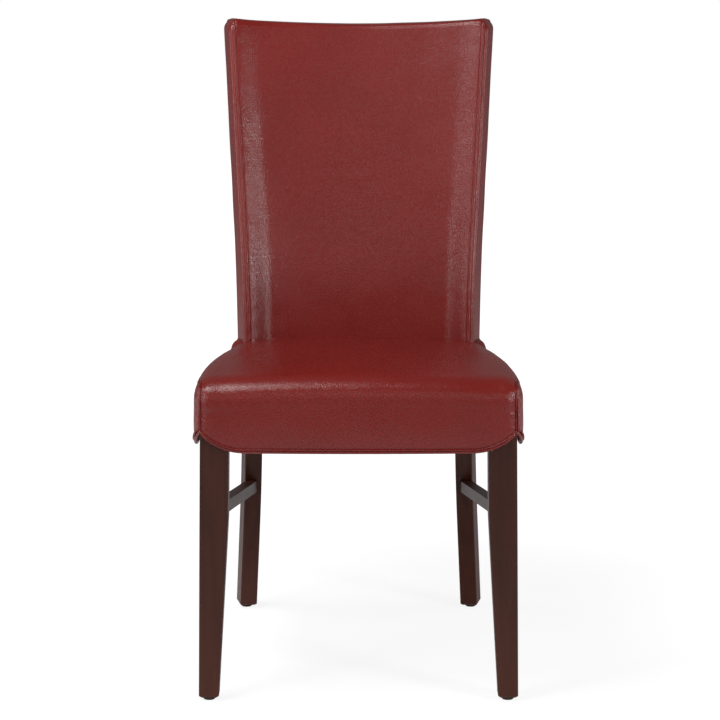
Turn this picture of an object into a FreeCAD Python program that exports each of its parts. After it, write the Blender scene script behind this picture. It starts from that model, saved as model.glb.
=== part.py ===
import FreeCAD, Part
import Sketcher
import math
import os

Vector = FreeCAD.Vector

# Driving dimensions, in millimetres and degrees
DRIVING_SIZES = [
    # front legs: upright board with one splayed outer face, tapered on two inner faces
    ("front_face_y", -291.35),
    ("foot_half_spread", 235.4),
    ("leg_splay", 0.86),
    ("leg_width", 41.5),
    ("leg_foot_width", 29.5),
    ("taper_height", 275.0),
    ("leg_edge_ease", 1.3),
    ("foot_bevel", 3.0),
    # glides
    ("glide_height", 5.0),
    ("glide_radius", 9.5),
    ("nail_radius", 1.6),
    ("nail_length", 14.0),
    ("nail_head_radius", 4.0),
    ("nail_head_height", 1.2),
    # back posts: sabre boards standing in planes that meet at the axis of the curved back
    ("axis_lead", 255.2),
    ("back_angle", 12.8),
    ("knee_radius", 720.9),
    ("post_depth", 37.0),
    ("post_thickness", 28.0),
    ("rake_angle", 13.8),
    ("rake_bend", 900.0),
    ("knee_margin", 7.0),
    ("back_stand_rise", 22.0),
    ("recline_angle", 14.0),
    ("recline_bend", 800.0),
    ("back_frame_height", 503.0),
    # seat rails
    ("rail_bottom", 378.0),
    ("rail_height", 52.0),
    ("rail_thickness", 23.0),
    ("front_rail_bow", 5.0),
    ("side_rail_setback", 6.0),
    # curved back rails
    ("back_rail_thickness", 21.0),
    ("back_rail_height", 58.0),
    ("lower_rail_rise", 34.0),
    ("middle_rail_rise", 238.0),
    # corner blocks and their screws
    ("block_height", 28.0),
    ("block_reach", 74.0),
    ("block_drop", 12.0),
    ("screw_radius", 2.2),
    ("screw_length", 60.0),
    ("screw_clearance", 0.1),
    ("screw_head_radius", 4.4),
    ("screw_head_height", 2.6),
    # dowels
    ("dowel_radius", 4.0),
    ("dowel_length", 40.0),
    ("dowel_clearance", 0.15),
    # stretchers
    ("stretcher_width", 18.6),
    ("stretcher_depth", 18.0),
    ("stretcher_front_top", 288.0),
    ("stretcher_rear_top", 231.5),
    ("tenon_width", 9.0),
    ("tenon_depth", 11.0),
    ("tenon_length", 14.0),
    ("tenon_clearance", 0.1),
    # webbing
    ("web_width", 58.0),
    ("web_thickness", 1.8),
    ("web_slack", 0.4),
    ("back_web_width", 52.0),
    ("back_web_thickness", 1.5),
    # upholstery of the seat
    ("leather", 1.8),
    ("soft_clearance", 0.3),
    ("cover_rise", 2.6),
    ("seat_front_bow", 6.0),
    ("seat_overhang", 10.0),
    ("seat_side_pad", 9.45),
    ("seat_side_bow", 10.0),
    ("seat_corner_round", 26.5),
    ("seat_pad", 56.5),
    ("seat_roll", 24.0),
    ("crown_across_bend", 2800.0),
    ("crown_along_bend", 3200.0),
    ("crest_setback", 95.0),
    ("boxing_inset", 11.0),
    ("scallop_rise", 26.0),
    ("scallop_reach", 62.0),
    ("welt_radius", 2.7),
    ("welt_inset", 0.8),
    ("dust_cover_thickness", 0.8),
    # upholstery of the back
    ("back_side_pad", 6.0),
    ("back_rear_pad", 6.5),
    ("bolster_low", 25.0),
    ("bolster_high", 14.0),
    ("panel_pad", 12.0),
    ("bolster_width", 42.0),
    ("back_corner_round", 7.0),
    ("back_top_pad", 21.0),
    ("back_top_dish", 9.0),
    ("back_top_corner", 14.0),
    ("back_top_roll", 5.0),
    ("back_join_round", 8.0),
    ("trim_overrun", 20.0),
    ("rear_panel_depth", 4.0),
    ("rear_panel_drop", 10.0),
    ("web_end_margin", 5.0),
    ("dust_cover_margin", 4.0),
]

# Sizes that follow from the driving ones
DERIVED_SIZES = [
    ("rail_top", "=rail_bottom + rail_height"),
    ("knee_low", "=rail_bottom + knee_margin"),
    ("knee_high", "=rail_top + back_stand_rise"),
    ("lower_rail_bottom", "=knee_high + lower_rail_rise"),
    ("middle_rail_bottom", "=knee_high + middle_rail_rise"),
    ("post_top", "=knee_high + back_frame_height"),
    ("cover_bottom", "=rail_bottom + cover_rise"),
    ("seat_crest", "=rail_top + seat_pad"),
    ("seat_half_width", "=foot_half_spread - rail_top * tan(leg_splay) + seat_side_pad"),
    ("back_top", "=post_top + back_top_pad"),
]

doc = FreeCAD.newDocument("DiningChair")
sheet = doc.addObject("Spreadsheet::Sheet", "Sizes")
for row, (alias, number) in enumerate(DRIVING_SIZES + DERIVED_SIZES, start=1):
    sheet.set("A%d" % row, alias)
    sheet.set("B%d" % row, str(number))
    sheet.setAlias("B%d" % row, alias)
doc.recompute()


def size(alias):
    return float(sheet.get(alias))


def amount(expression):
    return float(sheet.evalExpression(expression))


# Sketches: every corner of an outline is held by two sizes, and an edge may leave it as an arc
def origin_plane(body, role):
    return [feature for feature in body.Origin.OriginFeatures if feature.Role == role][0]


def outline(body, role, corners):
    """corners: (x, y) or (x, y, radius, side); side is 1 where the arc's centre lies to the left"""
    sketch = body.newObject("Sketcher::SketchObject", body.Label + "_outline")
    sketch.AttachmentSupport = [(origin_plane(body, role), "")]
    sketch.MapMode = "FlatFace"
    points = [Vector(amount(corner[0]), amount(corner[1]), 0) for corner in corners]
    flipped = []
    for index, corner in enumerate(corners):
        start = points[index]
        end = points[(index + 1) % len(points)]
        flipped.append(len(corner) > 2 and corner[3] < 0)
        if len(corner) == 2:
            sketch.addGeometry(Part.LineSegment(start, end))
            continue
        radius = amount(corner[2])
        chord = end - start
        left = Vector(-chord.y, chord.x, 0).normalize()
        reach = math.sqrt(radius ** 2 - (chord.Length / 2) ** 2)
        centre = start + chord * 0.5 + left * reach * corner[3]
        first, last = (start, end) if corner[3] > 0 else (end, start)
        first_angle = math.atan2(first.y - centre.y, first.x - centre.x)
        last_angle = math.atan2(last.y - centre.y, last.x - centre.x)
        circle = Part.Circle(centre, Vector(0, 0, 1), radius)
        sketch.addGeometry(Part.ArcOfCircle(circle, first_angle, last_angle))
    for index, corner in enumerate(corners):
        following = (index + 1) % len(corners)
        end_side = 1 if flipped[index] else 2
        start_side = 2 if flipped[following] else 1
        sketch.addConstraint(Sketcher.Constraint("Coincident", index, end_side, following, start_side))
        if len(corner) > 2:
            bend = sketch.addConstraint(Sketcher.Constraint("Radius", index, amount(corner[2])))
            sketch.renameConstraint(bend, "bend_%d" % index)
            sketch.setExpression("Constraints.bend_%d" % index, corner[2])
    for index, corner in enumerate(corners):
        side = 2 if flipped[index] else 1
        for kind, expression in (("DistanceX", corner[0]), ("DistanceY", corner[1])):
            hold_corner(sketch, kind, index, side, expression)
    return sketch


def hold_corner(sketch, kind, edge, side, expression):
    if expression == "0":
        axis = -2 if kind == "DistanceX" else -1
        sketch.addConstraint(Sketcher.Constraint("PointOnObject", edge, side, axis))
        return
    index = sketch.addConstraint(Sketcher.Constraint(kind, -1, 1, edge, side, amount(expression)))
    name = "%s_corner_%d" % (kind[-1].lower(), edge)
    sketch.renameConstraint(index, name)
    sketch.setExpression("Constraints." + name, expression)


def new_body(name):
    return doc.addObject("PartDesign::Body", name)


def pad(body, sketch, length, reversed_way=False, midplane=False):
    feature = body.newObject("PartDesign::Pad", body.Label + "_pad")
    feature.Profile = sketch
    feature.Reversed = reversed_way
    feature.Midplane = midplane
    feature.setExpression("Length", length)
    doc.recompute()
    return feature


def place(item, x="0", y="0", z="0"):
    for axis, expression in (("x", x), ("y", y), ("z", z)):
        item.setExpression("Placement.Base." + axis, expression)


# Node list: label, object
nodes = []


def keep(item, label):
    item.Label = label
    nodes.append(item)
    return item


def mirrored(item, label):
    other = doc.addObject("Part::Mirroring", label)
    other.Source = item
    other.Base = Vector(0, 0, 0)
    other.Normal = Vector(1, 0, 0)
    doc.recompute()
    return other


def joined(name, items):
    group = doc.addObject("Part::Compound", name)
    group.Links = items
    doc.recompute()
    return group


def cut_with(name, base, tools):
    tool = tools[0]
    if len(tools) > 1:
        tool = doc.addObject("Part::MultiFuse", name + "_tools")
        tool.Shapes = tools
    cut = doc.addObject("Part::Cut", name)
    cut.Base = base
    cut.Tool = tool
    doc.recompute()
    return cut


def shape_object(name, shape):
    item = doc.addObject("Part::Feature", name)
    item.Shape = shape
    return item


# Front leg: square board with a splayed outer face, tapered to the foot on its two inner faces
def eased_rectangle(body, height, low_x, high_x, low_y, high_y, ease):
    """a rectangle with cut corners, lying at a height; all values are expressions"""
    sketch = outline(body, "XY_Plane", [
        ("%s + %s" % (low_x, ease), low_y),
        ("%s - %s" % (high_x, ease), low_y),
        (high_x, "%s + %s" % (low_y, ease)),
        (high_x, "%s - %s" % (high_y, ease)),
        ("%s - %s" % (high_x, ease), high_y),
        ("%s + %s" % (low_x, ease), high_y),
        (low_x, "%s - %s" % (high_y, ease)),
        (low_x, "%s + %s" % (low_y, ease)),
    ])
    sketch.setExpression("AttachmentOffset.Base.z", height)
    return sketch


def build_front_leg():
    body = new_body("leg_left_blank")
    outer = "(-Sizes.foot_half_spread + %s * tan(Sizes.leg_splay))"
    foot = "Sizes.glide_height"
    bevel_end = "(Sizes.glide_height + Sizes.foot_bevel)"
    levels = [
        (foot, "Sizes.leg_foot_width", "Sizes.foot_bevel"),
        (bevel_end, "Sizes.leg_foot_width", "0 * Sizes.foot_bevel"),
        ("Sizes.taper_height", "Sizes.leg_width", "0 * Sizes.foot_bevel"),
        ("Sizes.rail_top", "Sizes.leg_width", "0 * Sizes.foot_bevel"),
    ]
    sections = []
    for height, width, inset in levels:
        low_x = "(%s + %s)" % (outer % height, inset)
        high_x = "(%s + %s - %s)" % (outer % height, width, inset)
        low_y = "(%s)" % inset
        high_y = "(%s - %s)" % (width, inset)
        sections.append(eased_rectangle(body, height, low_x, high_x, low_y, high_y, "Sizes.leg_edge_ease"))
    loft = body.newObject("PartDesign::AdditiveLoft", "leg_taper")
    loft.Profile = sections[0]
    loft.Sections = sections[1:]
    loft.Ruled = True
    doc.recompute()
    body.Tip = loft
    place(body, y="Sizes.front_face_y")
    doc.recompute()
    return body


# Back post: a sabre board standing in the plane through the axis of the curved back
def path_corner(radius_offset, part_of_path):
    """the post's centre line, moved towards the rear by radius_offset; an expression pair"""
    if part_of_path == "foot":
        x, y = path_corner(radius_offset, "rake_end")
        return ("%s + (%s - Sizes.glide_height) * tan(Sizes.rake_angle)" % (x, y), "Sizes.glide_height")
    if part_of_path == "rake_end":
        reach = "(Sizes.rake_bend - (%s))" % radius_offset
        return ("Sizes.knee_radius + Sizes.rake_bend - %s * cos(Sizes.rake_angle)" % reach,
                "(Sizes.knee_low - %s * sin(Sizes.rake_angle))" % reach)
    if part_of_path == "knee_low":
        return ("Sizes.knee_radius + %s" % radius_offset, "Sizes.knee_low")
    if part_of_path == "knee_high":
        return ("Sizes.knee_radius + %s" % radius_offset, "Sizes.knee_high")
    if part_of_path == "recline_start":
        reach = "(Sizes.recline_bend - (%s))" % radius_offset
        return ("Sizes.knee_radius + Sizes.recline_bend - %s * cos(Sizes.recline_angle)" % reach,
                "(Sizes.knee_high + %s * sin(Sizes.recline_angle))" % reach)
    x, y = path_corner(radius_offset, "recline_start")
    return ("%s + (Sizes.post_top - %s) * tan(Sizes.recline_angle)" % (x, y), "Sizes.post_top")


def build_back_post():
    body = new_body("post_left_blank")
    front = "-Sizes.post_depth / 2"
    rear = "Sizes.post_depth / 2"
    rake_front = "Sizes.rake_bend + Sizes.post_depth / 2"
    rake_rear = "Sizes.rake_bend - Sizes.post_depth / 2"
    recline_front = "Sizes.recline_bend + Sizes.post_depth / 2"
    recline_rear = "Sizes.recline_bend - Sizes.post_depth / 2"
    side = outline(body, "YZ_Plane", [
        path_corner(front, "foot"),
        path_corner(rear, "foot"),
        path_corner(rear, "rake_end") + (rake_rear, -1),
        path_corner(rear, "knee_low"),
        path_corner(rear, "knee_high") + (recline_rear, -1),
        path_corner(rear, "recline_start"),
        path_corner(rear, "top"),
        path_corner(front, "top"),
        path_corner(front, "recline_start") + (recline_front, 1),
        path_corner(front, "knee_high"),
        path_corner(front, "knee_low") + (rake_front, 1),
        path_corner(front, "rake_end"),
    ])
    board = pad(body, side, "Sizes.post_thickness", reversed_way=True)
    foot_edges = []
    for number, edge in enumerate(board.Shape.Edges, start=1):
        if max(vertex.Z for vertex in edge.Vertexes) < amount("Sizes.glide_height + Sizes.foot_bevel"):
            foot_edges.append("Edge%d" % number)
    bevel = body.newObject("PartDesign::Chamfer", "post_foot_bevel")
    bevel.Base = (board, foot_edges)
    bevel.setExpression("Size", "Sizes.foot_bevel")
    doc.recompute()
    long_edges = []
    for number, edge in enumerate(bevel.Shape.Edges, start=1):
        heights = [vertex.Z for vertex in edge.Vertexes]
        if max(heights) - min(heights) > amount("Sizes.post_depth"):
            long_edges.append("Edge%d" % number)
    easing = body.newObject("PartDesign::Chamfer", "post_easing")
    easing.Base = (bevel, long_edges)
    easing.setExpression("Size", "Sizes.leg_edge_ease")
    doc.recompute()
    body.Tip = easing
    place(body, y="Sizes.front_face_y - Sizes.axis_lead")
    body.setExpression("Placement.Rotation.Angle", "Sizes.back_angle")
    doc.recompute()
    return body


front_leg_blank = build_front_leg()
back_post_blank = build_back_post()
right_leg_blank = mirrored(front_leg_blank, "leg_right_blank")
right_post_blank = mirrored(back_post_blank, "post_right_blank")


# Stretchers: sloping bars with a tenon at each end
def stretcher_ends():
    """middle of the top face at the leg's rear face and at the post's front face"""
    splay = math.tan(math.radians(size("leg_splay")))
    front_x = -size("foot_half_spread") + size("stretcher_front_top") * splay + size("leg_width") / 2
    front_y = size("front_face_y") + size("leg_width")
    rake = math.tan(math.radians(size("rake_angle")))
    turn = math.radians(size("back_angle"))
    rise = size("knee_low") - size("stretcher_rear_top")
    bend = size("rake_bend") + size("post_depth") / 2
    radial = size("knee_radius") + size("rake_bend") - math.sqrt(bend ** 2 - rise ** 2)
    across = size("post_thickness") - size("leg_edge_ease") - size("stretcher_width") / 2
    rear_x = -radial * math.sin(turn) - across * math.cos(turn)
    rear_y = size("front_face_y") - size("axis_lead") + radial * math.cos(turn) - across * math.sin(turn)
    return (Vector(front_x, front_y, size("stretcher_front_top")),
            Vector(rear_x, rear_y, size("stretcher_rear_top")))


def bar_along(name, start, end, overrun, width, depth, drop):
    """a box whose top middle line runs from start to end, drop below them"""
    way = end - start
    bar = doc.addObject("Part::Box", name)
    bar.setExpression("Width", width)
    bar.setExpression("Height", depth)
    bar.Length = way.Length + 2 * overrun
    turn = FreeCAD.Rotation(Vector(0, 0, 1), math.degrees(math.atan2(way.y, way.x)))
    slope = FreeCAD.Rotation(Vector(0, 1, 0), -math.degrees(math.asin(way.z / way.Length)))
    rotation = turn.multiply(slope)
    corner = Vector(-overrun, -amount(width) / 2, -amount(depth) - drop)
    bar.Placement = FreeCAD.Placement(start + rotation.multVec(corner), rotation)
    doc.recompute()
    return bar


def build_stretcher():
    start, end = stretcher_ends()
    bar = bar_along("stretcher_bar", start, end, size("tenon_length"), "Sizes.stretcher_width", "Sizes.stretcher_depth", 0.0)
    shouldered = cut_with("stretcher_shoulders", bar, [front_leg_blank, back_post_blank])
    drop = (size("stretcher_depth") - size("tenon_depth")) / 2
    tenon = bar_along("stretcher_tenon", start, end, size("tenon_length"),
                      "Sizes.tenon_width", "Sizes.tenon_depth", drop)
    gap = size("tenon_clearance")
    mortise = bar_along("stretcher_mortise", start, end, size("tenon_length") + gap,
                        "Sizes.tenon_width + 2 * Sizes.tenon_clearance",
                        "Sizes.tenon_depth + 2 * Sizes.tenon_clearance", drop - gap)
    stretcher = doc.addObject("Part::MultiFuse", "stretcher")
    stretcher.Shapes = [shouldered, tenon]
    doc.recompute()
    return stretcher, mortise


left_stretcher, left_mortise = build_stretcher()


# Seat rails
def build_front_rail():
    body = new_body("front_rail_blank")
    half = "(Sizes.foot_half_spread - Sizes.leg_width)"
    bow = "((Sizes.foot_half_spread - Sizes.leg_width)^2 / (2 * Sizes.front_rail_bow))"
    plan = outline(body, "XY_Plane", [
        ("-" + half, "Sizes.front_face_y", bow, 1),
        (half, "Sizes.front_face_y"),
        (half, "Sizes.front_face_y + Sizes.rail_thickness"),
        ("-" + half, "Sizes.front_face_y + Sizes.rail_thickness"),
    ])
    pad(body, plan, "Sizes.rail_top - Sizes.rail_bottom")
    place(body, z="Sizes.rail_bottom")
    doc.recompute()
    return cut_with("front_rail", body, [front_leg_blank, right_leg_blank])


def rear_rail_profile(name, inner, outer, corners_z):
    body = new_body(name)
    low, high = corners_z
    section = outline(body, "YZ_Plane", [(inner(low), low), (outer(low), low), (outer(high), high), (inner(high), high)])
    turned = body.newObject("PartDesign::Revolution", name + "_turn")
    turned.Profile = section
    turned.ReferenceAxis = (section, ["V_Axis"])
    turned.Midplane = True
    turned.setExpression("Angle", "2 * Sizes.back_angle")
    doc.recompute()
    place(body, y="Sizes.front_face_y - Sizes.axis_lead")
    doc.recompute()
    return body


def middle_of_post(height):
    """the post's middle radius at a height above the knee, as an expression"""
    bend_top = "(Sizes.knee_high + Sizes.recline_bend * sin(Sizes.recline_angle))"
    if amount(height) > amount(bend_top):
        return ("(Sizes.knee_radius + Sizes.recline_bend * (1 - cos(Sizes.recline_angle))"
                " + (%s - %s) * tan(Sizes.recline_angle))" % (height, bend_top))
    return ("(Sizes.knee_radius + Sizes.recline_bend"
            " - sqrt(Sizes.recline_bend^2 - (%s - Sizes.knee_high)^2))" % height)


def build_back_rail(name, bottom):
    top = "(%s + Sizes.back_rail_height)" % bottom
    return rear_rail_profile(
        name,
        lambda height: middle_of_post(height) + " - Sizes.back_rail_thickness / 2",
        lambda height: middle_of_post(height) + " + Sizes.back_rail_thickness / 2",
        (bottom, top))


post_front_radius = "(Sizes.knee_radius - Sizes.post_depth / 2)"
back_axis = "(Sizes.front_face_y - Sizes.axis_lead)"
side_rail_front_x = "(-Sizes.foot_half_spread + Sizes.rail_top * tan(Sizes.leg_splay) + Sizes.side_rail_setback)"
side_rail_front_y = "(Sizes.front_face_y + Sizes.leg_width)"
side_rail_rear_x = "(-%s * sin(Sizes.back_angle) - Sizes.post_thickness * cos(Sizes.back_angle))" % post_front_radius
side_rail_rear_y = "(%s + %s * cos(Sizes.back_angle) + Sizes.leg_edge_ease)" % (back_axis, post_front_radius)


def build_side_rail():
    body = new_body("side_rail_blank")
    plan = outline(body, "XY_Plane", [
        (side_rail_front_x, side_rail_front_y),
        (side_rail_front_x + " + Sizes.rail_thickness", side_rail_front_y),
        (side_rail_rear_x + " + Sizes.rail_thickness",
         side_rail_rear_y + " + Sizes.rail_thickness * tan(Sizes.back_angle)"),
        (side_rail_rear_x, side_rail_rear_y),
    ])
    pad(body, plan, "Sizes.rail_top - Sizes.rail_bottom")
    place(body, z="Sizes.rail_bottom")
    doc.recompute()
    return cut_with("side_rail", body, [front_leg_blank, back_post_blank])


front_rail = build_front_rail()
rear_rail = rear_rail_profile(
    "rear_seat_rail_blank",
    lambda height: "(Sizes.knee_radius - Sizes.rail_thickness / 2)",
    lambda height: "(Sizes.knee_radius + Sizes.rail_thickness / 2)",
    ("Sizes.rail_bottom", "Sizes.rail_top"))
side_rail = build_side_rail()
lower_rail = build_back_rail("lower_rail_blank", "Sizes.lower_rail_bottom")
middle_rail = build_back_rail("middle_rail_blank", "Sizes.middle_rail_bottom")
top_rail = build_back_rail("top_rail_blank", "(Sizes.post_top - Sizes.back_rail_height)")

# Corner blocks: triangles that fill the corners between the rails, notched round the legs
block_side = "(Sizes.block_reach + Sizes.rail_thickness)"


def side_rail_middle_x(y):
    """the side rail's middle plane at a place along the seat; expressions"""
    lean = "((%s - %s) / (%s - %s))" % (side_rail_rear_x, side_rail_front_x, side_rail_rear_y, side_rail_front_y)
    return "(%s + Sizes.rail_thickness / 2 + (%s - %s) * %s)" % (side_rail_front_x, y, side_rail_front_y, lean)


def build_corner_block(name, inner_x, corner_y, far_y, neighbours):
    """a right-angled corner at corner_y whose long face runs from inner_x to the side rail at far_y"""
    body = new_body(name + "_blank")
    plan = outline(body, "XY_Plane", [
        (side_rail_middle_x(corner_y), corner_y),
        (inner_x, corner_y),
        (side_rail_middle_x(far_y), far_y),
    ])
    pad(body, plan, "Sizes.block_height")
    place(body, z="Sizes.rail_top - Sizes.block_drop - Sizes.block_height")
    doc.recompute()
    return cut_with(name, body, neighbours)


leg_inner_x = "(-Sizes.foot_half_spread + Sizes.rail_top * tan(Sizes.leg_splay) + Sizes.leg_width)"
rail_inner_y = "(Sizes.front_face_y + Sizes.rail_thickness)"
front_block_places = ("(%s + Sizes.block_reach)" % leg_inner_x, rail_inner_y,
                      "(%s + %s)" % (rail_inner_y, block_side))
front_block = build_corner_block("front_block", *front_block_places, [front_leg_blank, side_rail])
rear_rail_y = ("(Sizes.front_face_y - Sizes.axis_lead"
               " + Sizes.knee_radius * cos(Sizes.back_angle) + Sizes.rail_thickness / 4)")
post_inner_x = "(-Sizes.knee_radius * sin(Sizes.back_angle))"
rear_block_places = ("(%s + Sizes.block_reach)" % post_inner_x, rear_rail_y,
                     "(%s - %s)" % (rear_rail_y, block_side))
rear_block = build_corner_block("rear_block", *rear_block_places, [back_post_blank, side_rail, rear_rail])


# Pins: dowels, screws and nails, each a round along a direction
PIN_SIDES = 12


def round_pin(name, start, way, radius, length):
    """small rounds are faceted, which keeps the many of them light"""
    pin = doc.addObject("Part::Prism", name)
    pin.Polygon = PIN_SIDES
    pin.setExpression("Circumradius", radius)
    pin.setExpression("Height", length)
    pin.Placement = FreeCAD.Placement(start, FreeCAD.Rotation(Vector(0, 0, 1), way))
    return pin


def dowel_and_hole(name, middle, way):
    half = size("dowel_length") / 2
    gap = size("dowel_clearance")
    way.normalize()
    dowel = round_pin(name, middle - way * half, way, "Sizes.dowel_radius", "Sizes.dowel_length")
    hole = round_pin(name + "_hole", middle - way * (half + gap), way,
                     "Sizes.dowel_radius + Sizes.dowel_clearance",
                     "Sizes.dowel_length + 2 * Sizes.dowel_clearance")
    return dowel, hole


def radial_point(radius, across, height):
    """a point of the left post's plane: distance from the back's axis, then outwards from the inner face"""
    turn = math.radians(size("back_angle"))
    axis_y = size("front_face_y") - size("axis_lead")
    return Vector(-radius * math.sin(turn) - across * math.cos(turn),
                  axis_y + radius * math.cos(turn) - across * math.sin(turn),
                  height)


def post_across():
    turn = math.radians(size("back_angle"))
    return Vector(math.cos(turn), math.sin(turn), 0)


def dowel_heights(bottom, top):
    third = (top - bottom) / 3
    return (bottom + third, top - third)


def build_seat_rail_dowels():
    pairs = []
    seat_heights = dowel_heights(size("rail_bottom"), size("rail_top"))
    inner_x = amount(leg_inner_x)
    rail_middle_y = amount("Sizes.front_face_y + Sizes.rail_thickness / 2")
    front_x = inner_x - size("leg_width") + size("side_rail_setback") + size("rail_thickness") / 2
    leg_back_y = amount("Sizes.front_face_y + Sizes.leg_width")
    post_front = amount("Sizes.knee_radius - Sizes.post_depth / 2")
    rear_point = radial_point(post_front, size("post_thickness") - size("rail_thickness") / 2, 0)
    along = rear_point - Vector(front_x, leg_back_y, 0)
    for number, height in enumerate(seat_heights):
        tag = "_%d" % number
        pairs.append(dowel_and_hole("front_dowel" + tag, Vector(inner_x, rail_middle_y, height), Vector(1, 0, 0)))
        pairs.append(dowel_and_hole("side_dowel" + tag, Vector(front_x, leg_back_y, height), Vector(along)))
        pairs.append(dowel_and_hole("post_dowel" + tag, rear_point + Vector(0, 0, height), Vector(along)))
        pairs.append(dowel_and_hole("rear_dowel" + tag, radial_point(size("knee_radius"), 0, height), post_across()))
    return pairs


def build_back_rail_dowels():
    pairs = []
    bottoms = (size("lower_rail_bottom"), size("middle_rail_bottom"), amount("Sizes.post_top - Sizes.back_rail_height"))
    for rail_number, bottom in enumerate(bottoms):
        for number, height in enumerate(dowel_heights(bottom, bottom + size("back_rail_height"))):
            radius = amount(middle_of_post(str(height)))
            name = "back_dowel_%d_%d" % (rail_number, number)
            pairs.append(dowel_and_hole(name, radial_point(radius, 0, height), post_across()))
    return pairs


def both_sides(name, items):
    left = joined(name + "_left_half", items)
    right = mirrored(left, name + "_right_half")
    return joined(name, [left, right])


seat_pairs = build_seat_rail_dowels()
back_pairs = build_back_rail_dowels()
seat_dowels = both_sides("seat_dowels", [pair[0] for pair in seat_pairs])
back_dowels = both_sides("back_dowels", [pair[0] for pair in back_pairs])
seat_holes = joined("seat_dowel_holes", [pair[1] for pair in seat_pairs])
back_holes = joined("back_dowel_holes", [pair[1] for pair in back_pairs])
right_seat_holes = mirrored(seat_holes, "seat_dowel_holes_right")
right_back_holes = mirrored(back_holes, "back_dowel_holes_right")


def screw_and_hole(name, inner_x, corner_y, far_y):
    """a screw square to the middle of a block's long face, driven towards the leg in its corner"""
    height = amount("Sizes.rail_top - Sizes.block_drop - Sizes.block_height / 2")
    face_start = Vector(amount(inner_x), amount(corner_y), height)
    face_end = Vector(amount(side_rail_middle_x(far_y)), amount(far_y), height)
    face = face_end - face_start
    start = (face_start + face_end) / 2
    way = Vector(-face.y, face.x, 0).normalize() * math.copysign(1, face.y)
    gap = size("screw_clearance")
    shank = round_pin(name + "_shank", start, way, "Sizes.screw_radius", "Sizes.screw_length")
    head = round_pin(name + "_head", start - way * size("screw_head_height"), way,
                     "Sizes.screw_head_radius", "Sizes.screw_head_height")
    screw = doc.addObject("Part::MultiFuse", name)
    screw.Shapes = [shank, head]
    hole = round_pin(name + "_hole", start - way * gap, way, "Sizes.screw_radius + Sizes.screw_clearance",
                     "Sizes.screw_length + 2 * Sizes.screw_clearance")
    return screw, hole


front_screw, front_screw_hole = screw_and_hole("front_screw", *front_block_places)
rear_screw, rear_screw_hole = screw_and_hole("rear_screw", *rear_block_places)
block_screws = both_sides("block_screws", [front_screw, rear_screw])


# Glides: a domed pad under each foot, nailed
def build_glide(name, foot_centre):
    body = new_body(name + "_pad")
    ring = outline(body, "XZ_Plane", [
        ("0", "0"),
        ("Sizes.glide_radius - Sizes.glide_height / 3", "0"),
        ("Sizes.glide_radius", "Sizes.glide_height / 3"),
        ("Sizes.glide_radius", "Sizes.glide_height"),
        ("0", "Sizes.glide_height"),
    ])
    turned = body.newObject("PartDesign::Revolution", name + "_turn")
    turned.Profile = ring
    turned.ReferenceAxis = (ring, ["V_Axis"])
    turned.Angle = 360
    doc.recompute()
    body.Placement.Base = foot_centre
    recess = size("glide_height") / 4
    up = Vector(0, 0, 1)
    head = round_pin(name + "_nail_head", foot_centre + up * recess, up, "Sizes.nail_head_radius", "Sizes.nail_head_height")
    shank = round_pin(name + "_nail_shank", foot_centre + up * recess, up, "Sizes.nail_radius", "Sizes.nail_length")
    nail = doc.addObject("Part::MultiFuse", name + "_nail")
    nail.Shapes = [head, shank]
    well = round_pin(name + "_nail_well", foot_centre, up, "Sizes.nail_head_radius", "Sizes.glide_height / 4")
    doc.recompute()
    return cut_with(name, body, [nail, well]), nail


def leg_foot_centre():
    half = size("leg_foot_width") / 2
    x = amount("-Sizes.foot_half_spread + Sizes.glide_height * tan(Sizes.leg_splay)") + half
    return Vector(x, size("front_face_y") + half, 0)


def post_foot_centre():
    radius = amount("(%s)" % path_corner("0", "foot")[0])
    return radial_point(radius, size("post_thickness") / 2, 0)


front_glide, front_nail = build_glide("front_glide", leg_foot_centre())
rear_glide, rear_nail = build_glide("rear_glide", post_foot_centre())
glide_nails = both_sides("glide_nails", [front_nail, rear_nail])

front_leg = cut_with("front_leg", front_leg_blank, [left_mortise, seat_holes, front_screw_hole, front_nail])
back_post = cut_with("back_post", back_post_blank,
                     [left_mortise, seat_holes, back_holes, rear_screw_hole, rear_nail])


# Upholstery: the outline of each padded form, inset by the layers that lie over it
def line(start, end):
    return Part.LineSegment(start, end).toShape()


def arc(start, middle, end):
    return Part.Arc(start, middle, end).toShape()


def other_side(point):
    return Vector(-point.x, point.y, point.z)


QUARTER_SHARE = 1 - math.sqrt(0.5)


def back_axis_y():
    return size("front_face_y") - size("axis_lead")


def post_middle_radius(height):
    if height <= size("knee_high"):
        return size("knee_radius")
    return amount(middle_of_post("%.9f" % height))


def rear_radius(height, inset):
    return post_middle_radius(height) + size("post_depth") / 2 + size("back_rear_pad") - inset


def back_side(inset):
    return size("post_thickness") + size("back_side_pad") - inset


def half_outline(points, spans):
    """edges from a list of points; a span of 2 is a line and a span of 3 an arc"""
    edges = []
    first = 0
    for span in spans:
        group = points[first:first + span]
        edges.append(line(*group) if span == 2 else arc(*group))
        first += span - 1
    return edges


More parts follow.
